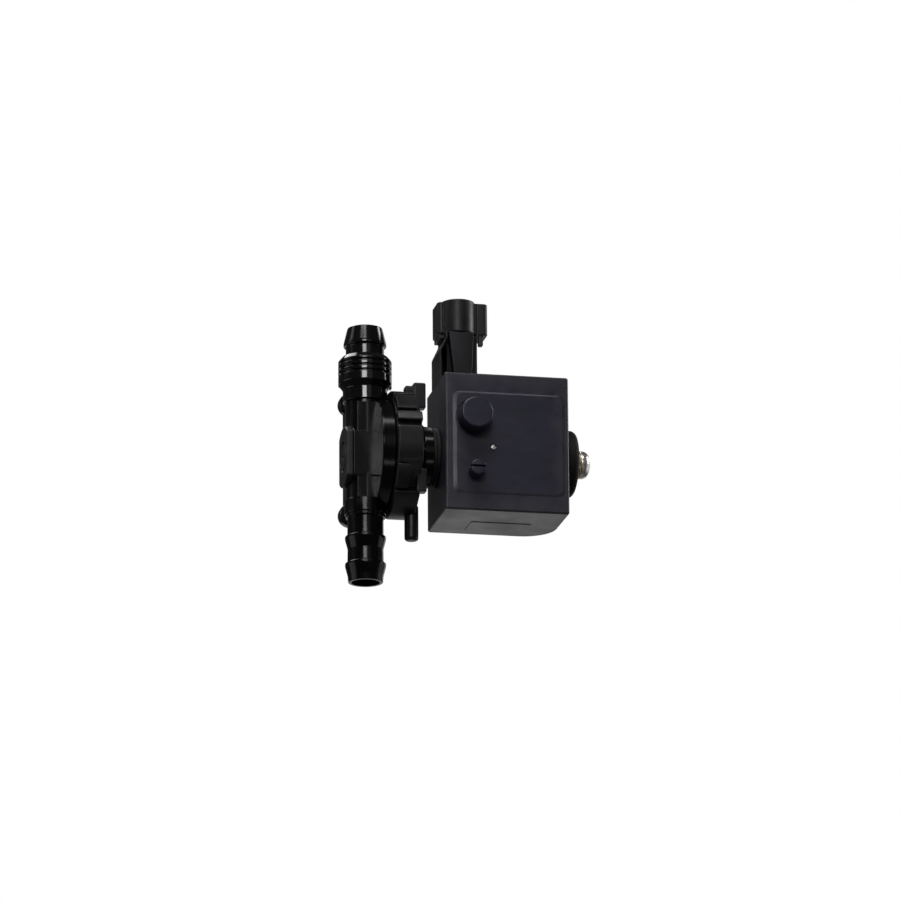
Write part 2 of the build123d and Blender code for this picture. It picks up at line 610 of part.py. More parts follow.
def make_connector_shell():
    shell = block(COLLAR_X, COLLAR_Y, COLLAR_Z)
    shell = fillet(shell.edges().filter_by(Axis.Z), COLLAR_CORNER_R)
    for side in (-1, 1):
        bulge_y = SOCKET_CENTRE[1] + side * BULGE_Y
        shell += rod_z(BULGE_R, COLLAR_Z[0], COLLAR_Z[1] + BULGE_TOP, BULGE_X, bulge_y)
    # Step under the left side and latch nub under the right side.
    shell += block(STEP_X, STEP_Y, (STEP_BOTTOM_Z, COLLAR_Z[0] + PAST))
    shell += block(NUB_X, NUB_Y, (NUB_BOTTOM_Z, COLLAR_Z[0] + PAST))
    x, y = SOCKET_CENTRE
    socket_x = (x - SOCKET_SIZE[0] / 2, x + SOCKET_SIZE[0] / 2)
    socket_y = (y - SOCKET_SIZE[1] / 2, y + SOCKET_SIZE[1] / 2)
    shell -= block(socket_x, socket_y, (SOCKET_FLOOR_Z, COLLAR_Z[1] + BULGE_TOP + PAST))
    shell -= make_connector_tower()
    for blade_x in blade_places():
        shell -= block((blade_x - BLADE_SIZE[0] / 2, blade_x + BLADE_SIZE[0] / 2),
                       (y - BLADE_SIZE[1] / 2, y + BLADE_SIZE[1] / 2),
                       (COLLAR_Z[0] - PAST, SOCKET_FLOOR_Z + PAST))
    return shell


def make_terminal_blades():
    y_pair = (SOCKET_CENTRE[1] - BLADE_SIZE[1] / 2, SOCKET_CENTRE[1] + BLADE_SIZE[1] / 2)
    blades = []
    for x in blade_places():
        x_pair = (x - BLADE_SIZE[0] / 2, x + BLADE_SIZE[0] / 2)
        blade = block(x_pair, y_pair, (BLADE_BOTTOM_Z, BLADE_TOP_Z))
        blades.append(chamfer(blade.faces().sort_by(Axis.Z)[-1].edges(), BLADE_CHAMFER))
    return Compound(blades)


def make_coil_leads():
    z_pair = (HUB_Z + BOBBIN_FLANGE_R + LEAD_FOOT_GAP, BLADE_BOTTOM_Z)
    return Compound([rod_z(LEAD_R, *z_pair, x, SOCKET_CENTRE[1]) for x in blade_places()])


def make_connector_seal():
    """Rubber frame lying on the socket's floor round the blades."""
    x, y = SOCKET_CENTRE
    half_x, half_y = SOCKET_SIZE[0] / 2, SOCKET_SIZE[1] / 2
    z_pair = (SOCKET_FLOOR_Z, SOCKET_FLOOR_Z + SEAL_FRAME)
    frame = block((x - half_x, x + half_x), (y - half_y, y + half_y), z_pair)
    hole_x = (x - half_x + SEAL_FRAME, x + half_x - SEAL_FRAME)
    hole_y = (y - half_y + SEAL_FRAME, y + half_y - SEAL_FRAME)
    return frame - block(hole_x, hole_y, (z_pair[0] - PAST, z_pair[1] + PAST))


def make_round_post():
    front = HEAD_Y[0] - ROUND_POST_PROUD
    post = rod_y(ROUND_POST_R, front, HEAD_Y[0], *ROUND_POST)
    post = fillet(post.edges().group_by(Axis.Y)[0], ROUND_POST_EDGE_R)
    return post + rod_y(ROUND_POST_PEG_R, HEAD_Y[0] - PAST, HEAD_Y[0] + SEAT_DEPTH, *ROUND_POST)


def make_slotted_plug():
    front = HEAD_Y[0] - SLOTTED_PLUG_PROUD
    plug = rod_y(SLOTTED_PLUG_R, front, HEAD_Y[0], *SLOTTED_PLUG)
    plug = fillet(plug.edges().group_by(Axis.Y)[0], SLOTTED_PLUG_EDGE_R)
    x = SLOTTED_PLUG[0]
    slot_x = (x - SLOTTED_PLUG_R - PAST, x + SLOTTED_PLUG_R + PAST)
    plug -= block(slot_x, (front - PAST, front + SLOT_DEPTH), SLOT_Z)
    return plug + rod_y(SLOTTED_PLUG_PEG_R, HEAD_Y[0] - PAST, HEAD_Y[0] + SEAT_DEPTH, *SLOTTED_PLUG)


def make_index_pin():
    front = HEAD_Y[0] - INDEX_PIN_PROUD
    pin = rod_y(INDEX_PIN_R, front, HEAD_Y[0] + SEAT_DEPTH, *INDEX_PIN)
    return fillet(pin.edges().group_by(Axis.Y)[0], INDEX_PIN_EDGE_R)


def make_end_disc():
    disc = rod_x(END_DISC_R, *END_DISC_X)
    disc = fillet(disc.edges().group_by(Axis.X)[-1], END_DISC_EDGE_R)
    return disc - rod_x(STUD_R, END_DISC_X[0] - PAST, END_DISC_X[1] + PAST)


def make_end_washer():
    return ring_x(WASHER_R, STUD_R, *WASHER_X)


def make_dome_nut():
    nut = rod_x(NUT_R, *NUT_X)
    nut = fillet(nut.edges().group_by(Axis.X)[-1], NUT_DOME_R)
    return nut - rod_x(STUD_R, NUT_X[0] - PAST, STUD_RIGHT_X)


NODES = {
    "valve_body": make_valve_body,
    "inlet_nozzle": make_inlet_nozzle,
    "inlet_o_ring": make_inlet_o_ring,
    "inlet_collar": make_inlet_collar,
    "rear_cap": make_rear_cap,
    "rear_cap_seal": make_rear_cap_seal,
    "bonnet_gasket": make_bonnet_gasket,
    "bonnet_cover": make_bonnet_cover,
    "bonnet_ring": make_bonnet_ring,
    "neck_seal": make_neck_seal,
    "guide_tube": make_guide_tube,
    "tube_o_ring": make_tube_o_ring,
    "fixed_core": make_fixed_core,
    "plunger": make_plunger,
    "stem": make_stem,
    "poppet": make_poppet,
    "seat_seal": make_seat_seal,
    "return_spring": make_return_spring,
    "coil_bobbin": make_bobbin,
    "coil_winding": make_winding,
    "yoke_frame": make_yoke,
    "coil_housing": make_coil_housing,
    "connector_tower": make_connector_tower,
    "connector_shell": make_connector_shell,
    "terminal_blades": make_terminal_blades,
    "coil_leads": make_coil_leads,
    "connector_seal": make_connector_seal,
    "round_post": make_round_post,
    "slotted_plug": make_slotted_plug,
    "index_pin": make_index_pin,
    "end_disc": make_end_disc,
    "end_washer": make_end_washer,
    "dome_nut": make_dome_nut,
}

os.makedirs("parts", exist_ok=True)
for node, make in NODES.items():
    export_step(make(), os.path.join("parts", node + ".step"))
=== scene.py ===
import json
from math import asin, cos, degrees, pi, radians, sin

import bmesh
import bpy
from mathutils import Matrix, Vector


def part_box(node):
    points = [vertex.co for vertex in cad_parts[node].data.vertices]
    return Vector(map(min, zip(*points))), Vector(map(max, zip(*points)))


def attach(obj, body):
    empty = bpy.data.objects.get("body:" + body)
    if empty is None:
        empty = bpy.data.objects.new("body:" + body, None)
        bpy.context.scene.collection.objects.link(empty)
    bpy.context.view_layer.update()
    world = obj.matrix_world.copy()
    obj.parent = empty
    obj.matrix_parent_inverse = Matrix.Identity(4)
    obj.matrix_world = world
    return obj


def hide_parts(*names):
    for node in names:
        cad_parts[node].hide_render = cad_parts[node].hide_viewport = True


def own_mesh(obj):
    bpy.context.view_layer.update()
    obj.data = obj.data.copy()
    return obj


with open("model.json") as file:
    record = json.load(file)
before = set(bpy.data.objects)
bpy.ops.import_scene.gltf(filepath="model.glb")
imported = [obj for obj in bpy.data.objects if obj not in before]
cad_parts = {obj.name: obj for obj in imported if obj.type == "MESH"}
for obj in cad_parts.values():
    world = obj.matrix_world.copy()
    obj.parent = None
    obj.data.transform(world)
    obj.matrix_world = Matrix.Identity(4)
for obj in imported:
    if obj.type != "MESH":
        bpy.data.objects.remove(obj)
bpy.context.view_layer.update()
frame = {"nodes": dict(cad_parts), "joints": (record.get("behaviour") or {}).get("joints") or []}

MM = 0.001

# ---------------------------------------------------------------- places, in millimetres
JOINTS = {joint["name"]: joint for joint in frame["joints"]}
HUB_Z = JOINTS["coil_swivel"]["pos_m"][2] / MM


def box_mm(node):
    low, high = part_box(node)
    return [value / MM for value in low], [value / MM for value in high]


HEAD_LOW, HEAD_HIGH = box_mm("coil_housing")
TOWER_LOW, TOWER_HIGH = box_mm("connector_tower")
SHELL_LOW, SHELL_HIGH = box_mm("connector_shell")
RING_LOW, RING_HIGH = box_mm("bonnet_ring")
POST_LOW, POST_HIGH = box_mm("round_post")
PLUG_LOW, PLUG_HIGH = box_mm("slotted_plug")
PIN_LOW, PIN_HIGH = box_mm("index_pin")
CAP_LOW, CAP_HIGH = box_mm("rear_cap")
DISC_LOW, DISC_HIGH = box_mm("end_disc")
WASHER_LOW, WASHER_HIGH = box_mm("end_washer")
NUT_LOW, NUT_HIGH = box_mm("dome_nut")
NOZZLE_LOW, NOZZLE_HIGH = box_mm("inlet_nozzle")
COLLAR_LOW, COLLAR_HIGH = box_mm("inlet_collar")
SPRING_LOW, SPRING_HIGH = box_mm("return_spring")
WINDING_LOW, WINDING_HIGH = box_mm("coil_winding")
NECK_LOW, NECK_HIGH = box_mm("bonnet_cover")
SEAL_LOW, SEAL_HIGH = box_mm("neck_seal")

LINE_R = 8.4
LINE_AXIS = (0, 0, 0)
HUB = (0.0, 0.0, HUB_Z)
PAST = 1.0  # how far a cut runs past the face that it opens

# Limits used on every mesh; the angles are in degrees.
ON_AXIS = 1e-6
SHORTEST_REACH = 1e-4
CORNER_SHARE = 0.45
CORNER_STEPS = 4
BEVEL_ANGLE = 25.0
SMOOTH_ANGLE = 38


def front_centre(low, high):
    """The middle of a round feature on the front, whose axis runs along Y."""
    return ((low[0] + high[0]) / 2, 0, (low[2] + high[2]) / 2)


# ---------------------------------------------------------------- mesh helpers
def soft(points, radius):
    """The closed outline with each corner rounded, except corners on the axis (second value 0)."""
    result = []
    count = len(points)
    for index, point in enumerate(points):
        corner = Vector(point)
        before = Vector(points[index - 1])
        after = Vector(points[(index + 1) % count])
        shorter = min((before - corner).length, (after - corner).length)
        reach = min(radius, shorter * CORNER_SHARE)
        if abs(corner.y) < ON_AXIS or reach < SHORTEST_REACH:
            result.append(tuple(corner))
            continue
        start = corner + (before - corner).normalized() * reach
        end = corner + (after - corner).normalized() * reach
        for step in range(CORNER_STEPS + 1):
            t = step / CORNER_STEPS
            spot = start * (1 - t) ** 2 + corner * 2 * t * (1 - t) + end * t ** 2
            result.append(tuple(spot))
    return result


def new_bmesh(verts, faces):
    mesh = bpy.data.meshes.new("shell")
    mesh.from_pydata([tuple(value * MM for value in vert) for vert in verts], [], faces)
    shell = bmesh.new()
    shell.from_mesh(mesh)
    bpy.data.meshes.remove(mesh)
    bmesh.ops.recalc_face_normals(shell, faces=shell.faces)
    return shell


def lathe(points, axis="X", centre=HUB, edge=0.3, segments=96):
    """Solid of revolution from a closed outline of (place along the axis, radius) points."""
    outline = soft(points, edge) if edge else list(points)
    verts, rings = [], []
    for along, radius in outline:
        if radius < ON_AXIS:
            rings.append([len(verts)])
            spins = [0.0]
        else:
            rings.append(list(range(len(verts), len(verts) + segments)))
            spins = [2 * pi * step / segments for step in range(segments)]
        for spin in spins:
            side, up = radius * cos(spin), radius * sin(spin)
            if axis == "X":
                verts.append((along, centre[1] + side, centre[2] + up))
            elif axis == "Y":
                verts.append((centre[0] + side, along, centre[2] + up))
            else:
                verts.append((centre[0] + side, centre[1] + up, along))
    faces = []
    for index, ring in enumerate(rings):
        other = rings[(index + 1) % len(rings)]
        for step in range(segments):
            near, far = step, (step + 1) % segments
            if len(ring) > 1 and len(other) > 1:
                faces.append((ring[near], ring[far], other[far], other[near]))
            elif len(ring) > 1:
                faces.append((ring[near], ring[far], other[0]))
            elif len(other) > 1:
                faces.append((ring[0], other[far], other[near]))
    return new_bmesh(verts, faces)


def round_edges(shell, edge, segments):
    if edge:
        sharp = [e for e in shell.edges if e.is_manifold and degrees(e.calc_face_angle()) > BEVEL_ANGLE]
        bmesh.ops.bevel(shell, geom=sharp, offset=edge * MM, segments=segments, profile=0.5,
                        affect="EDGES", clamp_overlap=True)
    return shell


def loft(layers, axis, edge=0.0, segments=3):
    """A closed shell through outlines with the same number of points, one per place along the axis.
    Outline values are the two coordinates across the axis, in X, Y, Z order."""
    def place(pair, along):
        if axis == "X":
            return (along, pair[0], pair[1])
        if axis == "Y":
            return (pair[0], along, pair[1])
        return (pair[0], pair[1], along)

    count = len(layers[0][1])
    verts = [place(pair, along) for along, outline in layers for pair in outline]
    last = (len(layers) - 1) * count
    faces = [tuple(range(count)), tuple(range(last, last + count))]
    for start in range(0, last, count):
        for index in range(count):
            nxt = (index + 1) % count
            faces.append((start + index, start + nxt, start + count + nxt, start + count + index))
    return round_edges(new_bmesh(verts, faces), edge, segments)


def prism(outline, axis, low, high, edge=0.4, segments=3):
    """A flat outline drawn out along an axis, with its edges rounded."""
    return loft([(low, outline), (high, outline)], axis, edge, segments)


def slab(x_pair, y_pair, z_pair, edge=0.4):
    (left, right), (front, back) = x_pair, y_pair
    outline = [(left, front), (right, front), (right, back), (left, back)]
    return prism(outline, "Z", z_pair[0], z_pair[1], edge)


def rod(axis, radius, low, high, centre=HUB, edge=0.3, segments=64):
    points = [(low, 0.0), (low, radius), (high, radius), (high, 0.0)]
    return lathe(points, axis, centre, edge, segments)


def arc(centre, radius, start, end, steps):
    """Points on an arc, angles in degrees."""
    angles = [radians(start + (end - start) * k / steps) for k in range(steps + 1)]
    return [(centre[0] + radius * cos(angle), centre[1] + radius * sin(angle)) for angle in angles]


def rounded_rectangle(x_pair, y_pair, corner_radii, steps=8):
    """Corner radii run from low X low Y, round through high X low Y."""
    spots = [(x_pair[0], y_pair[0], 1, 1, 180), (x_pair[1], y_pair[0], -1, 1, 270),
             (x_pair[1], y_pair[1], -1, -1, 0), (x_pair[0], y_pair[1], 1, -1, 90)]
    points = []
    for (x, y, inward_x, inward_y, start), radius in zip(spots, corner_radii):
        centre = (x + inward_x * radius, y + inward_y * radius)
        points += arc(centre, radius, start, start + 90, steps)
    return points


def link(shell, name):
    mesh = bpy.data.meshes.new(name)
    shell.to_mesh(mesh)
    shell.free()
    piece = bpy.data.objects.new(name, mesh)
    bpy.context.scene.collection.objects.link(piece)
    return piece


def combine(name, shells, cuts=()):
    """One closed mesh: the union of the shells, less the cuts."""
    piece = link(shells[0], name)
    helpers = []
    for operation, group in (("UNION", shells[1:]), ("DIFFERENCE", cuts)):
        for shell in group:
            helper = link(shell, "helper")
            helpers.append(helper)
            modifier = piece.modifiers.new("join", "BOOLEAN")
            modifier.operation = operation
            modifier.object = helper
            modifier.solver = "EXACT"
    if helpers:
        graph = bpy.context.evaluated_depsgraph_get()
        graph.update()
        final = bpy.data.meshes.new_from_object(piece.evaluated_get(graph))
        piece.modifiers.clear()
        piece.data = final
        for helper in helpers:
            bpy.data.objects.remove(helper)
    return piece


def finish_piece(piece, material, body, nodes):
    mesh = piece.data
    mesh.materials.clear()
    mesh.materials.append(material)
    for face in mesh.polygons:
        face.use_smooth = True
        face.material_index = 0
    mesh.set_sharp_from_angle(angle=radians(SMOOTH_ANGLE))
    weighted = piece.modifiers.new("weighted", "WEIGHTED_NORMAL")
    weighted.keep_sharp = True
    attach(piece, body)
    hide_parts(*nodes)


# ---------------------------------------------------------------- materials
# Places of the colour sockets on a Mix node, which has one set for each kind of value.
MIX_FACTOR, MIX_FIRST, MIX_SECOND, MIX_RESULT = 0, 6, 7, 2
WHOLE = (0.0, 1.0)


def node_material(name):
    material = bpy.data.materials.new(name)
    material.use_nodes = True
    tree = material.node_tree
    tree.nodes.clear()
    output = tree.nodes.new("ShaderNodeOutputMaterial")
    shader = tree.nodes.new("ShaderNodeBsdfPrincipled")
    tree.links.new(shader.outputs["BSDF"], output.inputs["Surface"])
    place = tree.nodes.new("ShaderNodeTexCoord")
    return material, tree, shader, place.outputs["Object"]


def noise(tree, place, scale, detail, roughness=0.55):
    node = tree.nodes.new("ShaderNodeTexNoise")
    node.inputs["Scale"].default_value = scale
    node.inputs["Detail"].default_value = detail
    node.inputs["Roughness"].default_value = roughness
    tree.links.new(place, node.inputs["Vector"])
    return node.outputs["Fac"]


def remap(tree, value, source, target):
    """Moves a value from the source pair's range to the target pair's."""
    node = tree.nodes.new("ShaderNodeMapRange")
    node.inputs["From Min"].default_value, node.inputs["From Max"].default_value = source
    node.inputs["To Min"].default_value, node.inputs["To Max"].default_value = target
    tree.links.new(value, node.inputs["Value"])
    return node.outputs["Result"]


def mix_colour(tree, factor, first, second):
    node = tree.nodes.new("ShaderNodeMix")
    node.data_type = "RGBA"
    tree.links.new(factor, node.inputs[MIX_FACTOR])
    for socket, value in ((node.inputs[MIX_FIRST], first), (node.inputs[MIX_SECOND], second)):
        if isinstance(value, tuple):
            socket.default_value = (*value, 1.0)
        else:
            tree.links.new(value, socket)
    return node.outputs[MIX_RESULT]


def add_values(tree, first, second):
    node = tree.nodes.new("ShaderNodeMath")
    node.operation = "ADD"
    tree.links.new(first, node.inputs[0])
    tree.links.new(second, node.inputs[1])
    return node.outputs["Value"]


def stretched(tree, place, scale):
    node = tree.nodes.new("ShaderNodeMapping")
    node.inputs["Scale"].default_value = scale
    tree.links.new(place, node.inputs["Vector"])
    return node.outputs["Vector"]


def bumped(tree, shader, height, distance):
    node = tree.nodes.new("ShaderNodeBump")
    node.inputs["Strength"].default_value = 1.0
    node.inputs["Distance"].default_value = distance
    tree.links.new(height, node.inputs["Height"])
    tree.links.new(node.outputs["Normal"], shader.inputs["Normal"])


def edge_mask(tree, source):
    """1 on convex edges and 0 on flats."""
    node = tree.nodes.new("ShaderNodeNewGeometry")
    return remap(tree, node.outputs["Pointiness"], source, WHOLE)


def moulded_plastic(name, dark, light, worn, rough=(0.32, 0.5), grain=0.00002, flow=(1, 1, 1),
                    specular=0.5):
    """Moulded black plastic: fine spark-eroded grain, faint flow streaks, rubbed edges, dust."""
    material, tree, shader, place = node_material(name)
    shader.inputs["Specular IOR Level"].default_value = specular
    streaks = noise(tree, stretched(tree, place, flow), scale=120.0, detail=5.0)
    patches = noise(tree, place, scale=55.0, detail=3.0)
    base = mix_colour(tree, remap(tree, streaks, (0.35, 0.7), WHOLE), dark, light)
    specks = noise(tree, place, scale=900.0, detail=6.0, roughness=0.7)
    dust = remap(tree, specks, (0.62, 0.78), (0.0, 0.35))
    dusty = mix_colour(tree, dust, base, worn)
    edges = edge_mask(tree, (0.53, 0.62))
    tree.links.new(mix_colour(tree, edges, dusty, worn), shader.inputs["Base Color"])
    tree.links.new(remap(tree, patches, (0.3, 0.7), rough), shader.inputs["Roughness"])
    fine = noise(tree, place, scale=2600.0, detail=2.0)
    waves = remap(tree, patches, WHOLE, (0.0, 3.0))
    bumped(tree, shader, add_values(tree, fine, waves), grain)
    return material


def paint_border_sheen(material, centre, half, colour):
    """Painted sheen: lightens a front face towards its border, with cloudy variation; sizes in metres, X and
    Z.
    """
    tree = material.node_tree
    shader = next(node for node in tree.nodes if node.type == "BSDF_PRINCIPLED")
    base = shader.inputs["Base Color"].links[0].from_socket
    place = next(node for node in tree.nodes if node.type == "TEX_COORD").outputs["Object"]
    parts = tree.nodes.new("ShaderNodeSeparateXYZ")
    tree.links.new(place, parts.inputs["Vector"])
    reaches = []
    for axis, middle, reach in (("X", centre[0], half[0]), ("Z", centre[1], half[1])):
        offset = tree.nodes.new("ShaderNodeMath")
        offset.operation = "SUBTRACT"
        offset.inputs[1].default_value = middle
        tree.links.new(parts.outputs[axis], offset.inputs[0])
        share = tree.nodes.new("ShaderNodeMath")
        share.operation = "DIVIDE"
        share.inputs[1].default_value = reach
        tree.links.new(offset.outputs["Value"], share.inputs[0])
        size = tree.nodes.new("ShaderNodeMath")
        size.operation = "ABSOLUTE"
        tree.links.new(share.outputs["Value"], size.inputs[0])
        reaches.append(size.outputs["Value"])
    greatest = tree.nodes.new("ShaderNodeMath")
    greatest.operation = "MAXIMUM"
    tree.links.new(reaches[0], greatest.inputs[0])
    tree.links.new(reaches[1], greatest.inputs[1])
    clouds = noise(tree, place, scale=95.0, detail=5.0, roughness=0.6)
    cloudy = add_values(tree, greatest.outputs["Value"], remap(tree, clouds, (0.3, 0.7), (-0.16, 0.16)))
    # How strongly the painted sheen lightens the face, rising towards the border.
    sheen_amount = remap(tree, cloudy, (0.68, 1.08), (0.0, 0.7))
    tree.links.new(mix_colour(tree, sheen_amount, base, colour), shader.inputs["Base Color"])


def rubber(name, dark, light):
    """Matt rubber with a mottled bloom."""
    material, tree, shader, place = node_material(name)
    shader.inputs["Specular IOR Level"].default_value = 0.28
    mottled = noise(tree, place, scale=260.0, detail=6.0, roughness=0.65)
    tree.links.new(mix_colour(tree, remap(tree, mottled, (0.35, 0.7), WHOLE), dark, light),
                   shader.inputs["Base Color"])
    tree.links.new(remap(tree, mottled, (0.3, 0.7), (0.55, 0.8)), shader.inputs["Roughness"])
    bumped(tree, shader, noise(tree, place, scale=1800.0, detail=5.0), distance=0.00003)
    return material


def metal(name, base, tarnish, rough=(0.18, 0.38), marks_scale=(1, 1, 1)):
    """Metal with fine turning or rolling marks along one direction, and tarnish in patches."""
    material, tree, shader, place = node_material(name)
    shader.inputs["Metallic"].default_value = 1.0
    lines = noise(tree, stretched(tree, place, marks_scale), scale=900.0, detail=3.0)
    patches = noise(tree, place, scale=180.0, detail=5.0, roughness=0.6)
    tree.links.new(mix_colour(tree, remap(tree, patches, (0.42, 0.75), (0.0, 0.85)), base, tarnish),
                   shader.inputs["Base Color"])
    dulled = add_values(tree, lines, patches)
    tree.links.new(remap(tree, dulled, (0.6, 1.4), rough), shader.inputs["Roughness"])
    bumped(tree, shader, lines, distance=0.000012)
    return material


BODY_BLACK = moulded_plastic("body_black", (0.0018, 0.0016, 0.0019), (0.0036, 0.0032, 0.0037),
                             (0.018, 0.016, 0.017), rough=(0.13, 0.22), flow=(3, 3, 0.6), specular=0.24)
COLLAR_BLACK = moulded_plastic("collar_black", (0.0030, 0.0027, 0.0032), (0.0058, 0.0052, 0.0060),
                               (0.022, 0.020, 0.021), rough=(0.07, 0.13), grain=0.000008, flow=(3, 3, 0.6))
INLET_BLACK = moulded_plastic("inlet_black", (0.0030, 0.0027, 0.0032), (0.0058, 0.0052, 0.0060),
                              (0.022, 0.020, 0.021), rough=(0.09, 0.16), grain=0.000006, flow=(3, 3, 0.6))
CAP_BLACK = moulded_plastic("cap_black", (0.007, 0.006, 0.0065), (0.012, 0.010, 0.011),
                            (0.035, 0.032, 0.033), rough=(0.34, 0.5), flow=(1, 2, 2))
RING_BLACK = moulded_plastic("ring_black", (0.0078, 0.0069, 0.0079), (0.0135, 0.0120, 0.0137),
                             (0.036, 0.033, 0.036), rough=(0.28, 0.42), flow=(0.6, 2, 2), specular=0.38)
HOUSING_BLUE = moulded_plastic("housing_blue_black", (0.012, 0.0113, 0.027), (0.020, 0.0185, 0.040),
                               (0.055, 0.050, 0.062), rough=(0.3, 0.44), grain=0.000018, flow=(0.7, 1, 2.2))
# Painted sheen: the housing's front face is lightened towards its border.
paint_border_sheen(HOUSING_BLUE, [(HEAD_LOW[axis] + HEAD_HIGH[axis]) / 2 * MM for axis in (0, 2)],
           [(HEAD_HIGH[axis] - HEAD_LOW[axis]) / 2 * MM for axis in (0, 2)], (0.058, 0.053, 0.060))
CONNECTOR_BLACK = moulded_plastic("connector_black", (0.0068, 0.0062, 0.0074), (0.0125, 0.0114, 0.0132),
                                  (0.042, 0.039, 0.043), rough=(0.33, 0.48), flow=(2, 2, 0.6), specular=0.4)
TOWER_BLACK = moulded_plastic("tower_black", (0.0034, 0.0032, 0.0042), (0.0066, 0.0061, 0.0078),
                              (0.030, 0.028, 0.032), rough=(0.38, 0.52), flow=(2, 2, 0.6), specular=0.22)
BOBBIN_NYLON = moulded_plastic("bobbin_nylon", (0.50, 0.47, 0.40), (0.60, 0.57, 0.50), (0.7, 0.67, 0.6))
SEAL_RUBBER = rubber("seal_rubber", (0.008, 0.008, 0.008), (0.016, 0.016, 0.016))
DISC_RUBBER = rubber("disc_rubber", (0.003, 0.0028, 0.0028), (0.007, 0.0064, 0.006))
STEEL = metal("stainless_steel", (0.55, 0.55, 0.56), (0.38, 0.37, 0.36), marks_scale=(4, 0.4, 0.4))
YOKE_STEEL = metal("yoke_steel", (0.42, 0.42, 0.43), (0.28, 0.27, 0.26), rough=(0.3, 0.5),
                   marks_scale=(0.4, 3, 3))
NUT_STEEL = metal("bright_nut", (0.90, 0.89, 0.87), (0.66, 0.63, 0.57), rough=(0.24, 0.38),
                  marks_scale=(5, 0.5, 0.5))
WASHER_ZINC = metal("washer_yellow", (0.68, 0.56, 0.33), (0.42, 0.33, 0.18), rough=(0.2, 0.38))
BRASS = metal("brass", (0.72, 0.52, 0.24), (0.45, 0.3, 0.13), marks_scale=(4, 0.4, 0.4))
COPPER = metal("enamelled_copper", (0.70, 0.30, 0.13), (0.42, 0.15, 0.06), rough=(0.16, 0.3))
TIN = metal("tinned_blade", (0.78, 0.77, 0.74), (0.55, 0.53, 0.5), marks_scale=(2, 2, 0.4))

for node, material in {
    "guide_tube": STEEL, "fixed_core": STEEL, "plunger": STEEL, "stem": STEEL, "poppet": BRASS,
    "seat_seal": SEAL_RUBBER, "inlet_o_ring": SEAL_RUBBER, "rear_cap_seal": SEAL_RUBBER,
    "bonnet_gasket": SEAL_RUBBER, "tube_o_ring": SEAL_RUBBER, "connector_seal": SEAL_RUBBER,
    "coil_bobbin": BOBBIN_NYLON, "yoke_frame": YOKE_STEEL, "terminal_blades": TIN, "coil_leads": COPPER,
}.items():
    cad_mesh = frame["nodes"][node]
    for material_slot in cad_mesh.material_slots:
        material_slot.material = material


# ---------------------------------------------------------------- valve body and hose line
FLANGE_X = (3.2, 9.0)
FLANGE_R = 23.4
BLOCK_Z = (CAP_LOW[2] + CAP_HIGH[2]) / 2
BLOCK_R = 13.0
BLOCK_HALF_Y = 8.8
CAP_SEAT_X = CAP_LOW[0] + 3.0
CAP_GAP_R = 13.5
CAP_GAP_Y = 0.8
SOCKET_Z = COLLAR_LOW[2]
LUG_R = 4.9
LUG_HOLE_R = 2.2
LUG_X = -4.1
LUG_Y = (11.6, 16.0)
LUG_Z = (HUB_Z + 25.4, HUB_Z - 23.1)
LUG_ARM_Y = (5.0, LUG_Y[1] - 0.4)
LUG_ARM_HALF_X = 2.7
LUG_ARM_REACH = 15.0
OUTLET_ROOT_Z = 27.8
OUTLET_STEPS = (19.7, 8.1)
SHOULDER_Z = (29.0, 35.3)
SHOULDER_R = 8.9
RIB_X = (-1.1, 0.7)
RIB_PROUD = 0.6
RIB_FLAT_X = (-5.0, 4.6)
RIB_FLAT_PROUD = 0.02
RIB_ROOT_Y = -2.0
RIB_HUB_GAP = 8.6
WEB_Y = 6.2
WEB_HALF = 0.7
WEB_REACH = 21.5
OUTLET_BORE_R = 6.0
INLET_BORE_R = 6.6
PASSAGE_R = 4.8
CHAMBER_R = 15.0
CHAMBER_X = 4.6
SEAT_R = 4.2
SEAT_X = -1.0
OUTLET_BORE_TOP_Z = HUB_Z - 17.0
OUTLET_PASSAGE_Z = (HUB_Z - 18.0, HUB_Z)
INLET_BORE_LOW_Z = HUB_Z + 15.0
INLET_PASSAGE_Z = (HUB_Z + 9.5, SOCKET_Z)
COLLAR_ROOM_R = COLLAR_HIGH[0] + 0.2
COLLAR_ROOM_HEIGHT = 9.0
LUG_HOLE_FRONT_Y = 4.0


def flat_sided(radius, x_low, x_high, half_y, edge):
    tilt = degrees(asin(half_y / radius))
    outline = arc((0.0, BLOCK_Z), radius, 90 - tilt, 90 + tilt, 16)
    outline += arc((0.0, BLOCK_Z), radius, 270 - tilt, 270 + tilt, 16)
    return prism(outline, "X", x_low, x_high, edge)


def line_cut(radius, low, high):
    return rod("Z", radius, low, high, LINE_AXIS, 0)


def hose_line():
    tip, neck, crest, land, taper, dip, back = 7.3, 7.6, 8.6, 1.2, 4.2, 0.1, 0.3
    points = [(0.0, 0.0), (0.0, tip)]
    for step in reversed(OUTLET_STEPS):
        points += [(step - land - taper, neck - dip), (step - land, crest), (step, crest),
                   (step + back, neck)]
    points += [(OUTLET_ROOT_Z, neck), (OUTLET_ROOT_Z, LINE_R), (SOCKET_Z, LINE_R), (SOCKET_Z, 0.0)]
    return lathe(points, "Z", LINE_AXIS, edge=0.35)


def lug(z):
    inward = -1 if z > HUB_Z else 1
    ends = sorted((z + inward * LUG_R * 0.5, z + inward * LUG_ARM_REACH))
    arm = slab((LUG_X - LUG_ARM_HALF_X, LUG_X + LUG_ARM_HALF_X), LUG_ARM_Y, ends, edge=0.5)
    return [arm, rod("Y", LUG_R, LUG_Y[0], LUG_Y[1], (LUG_X, 0, z), edge=0.7)]


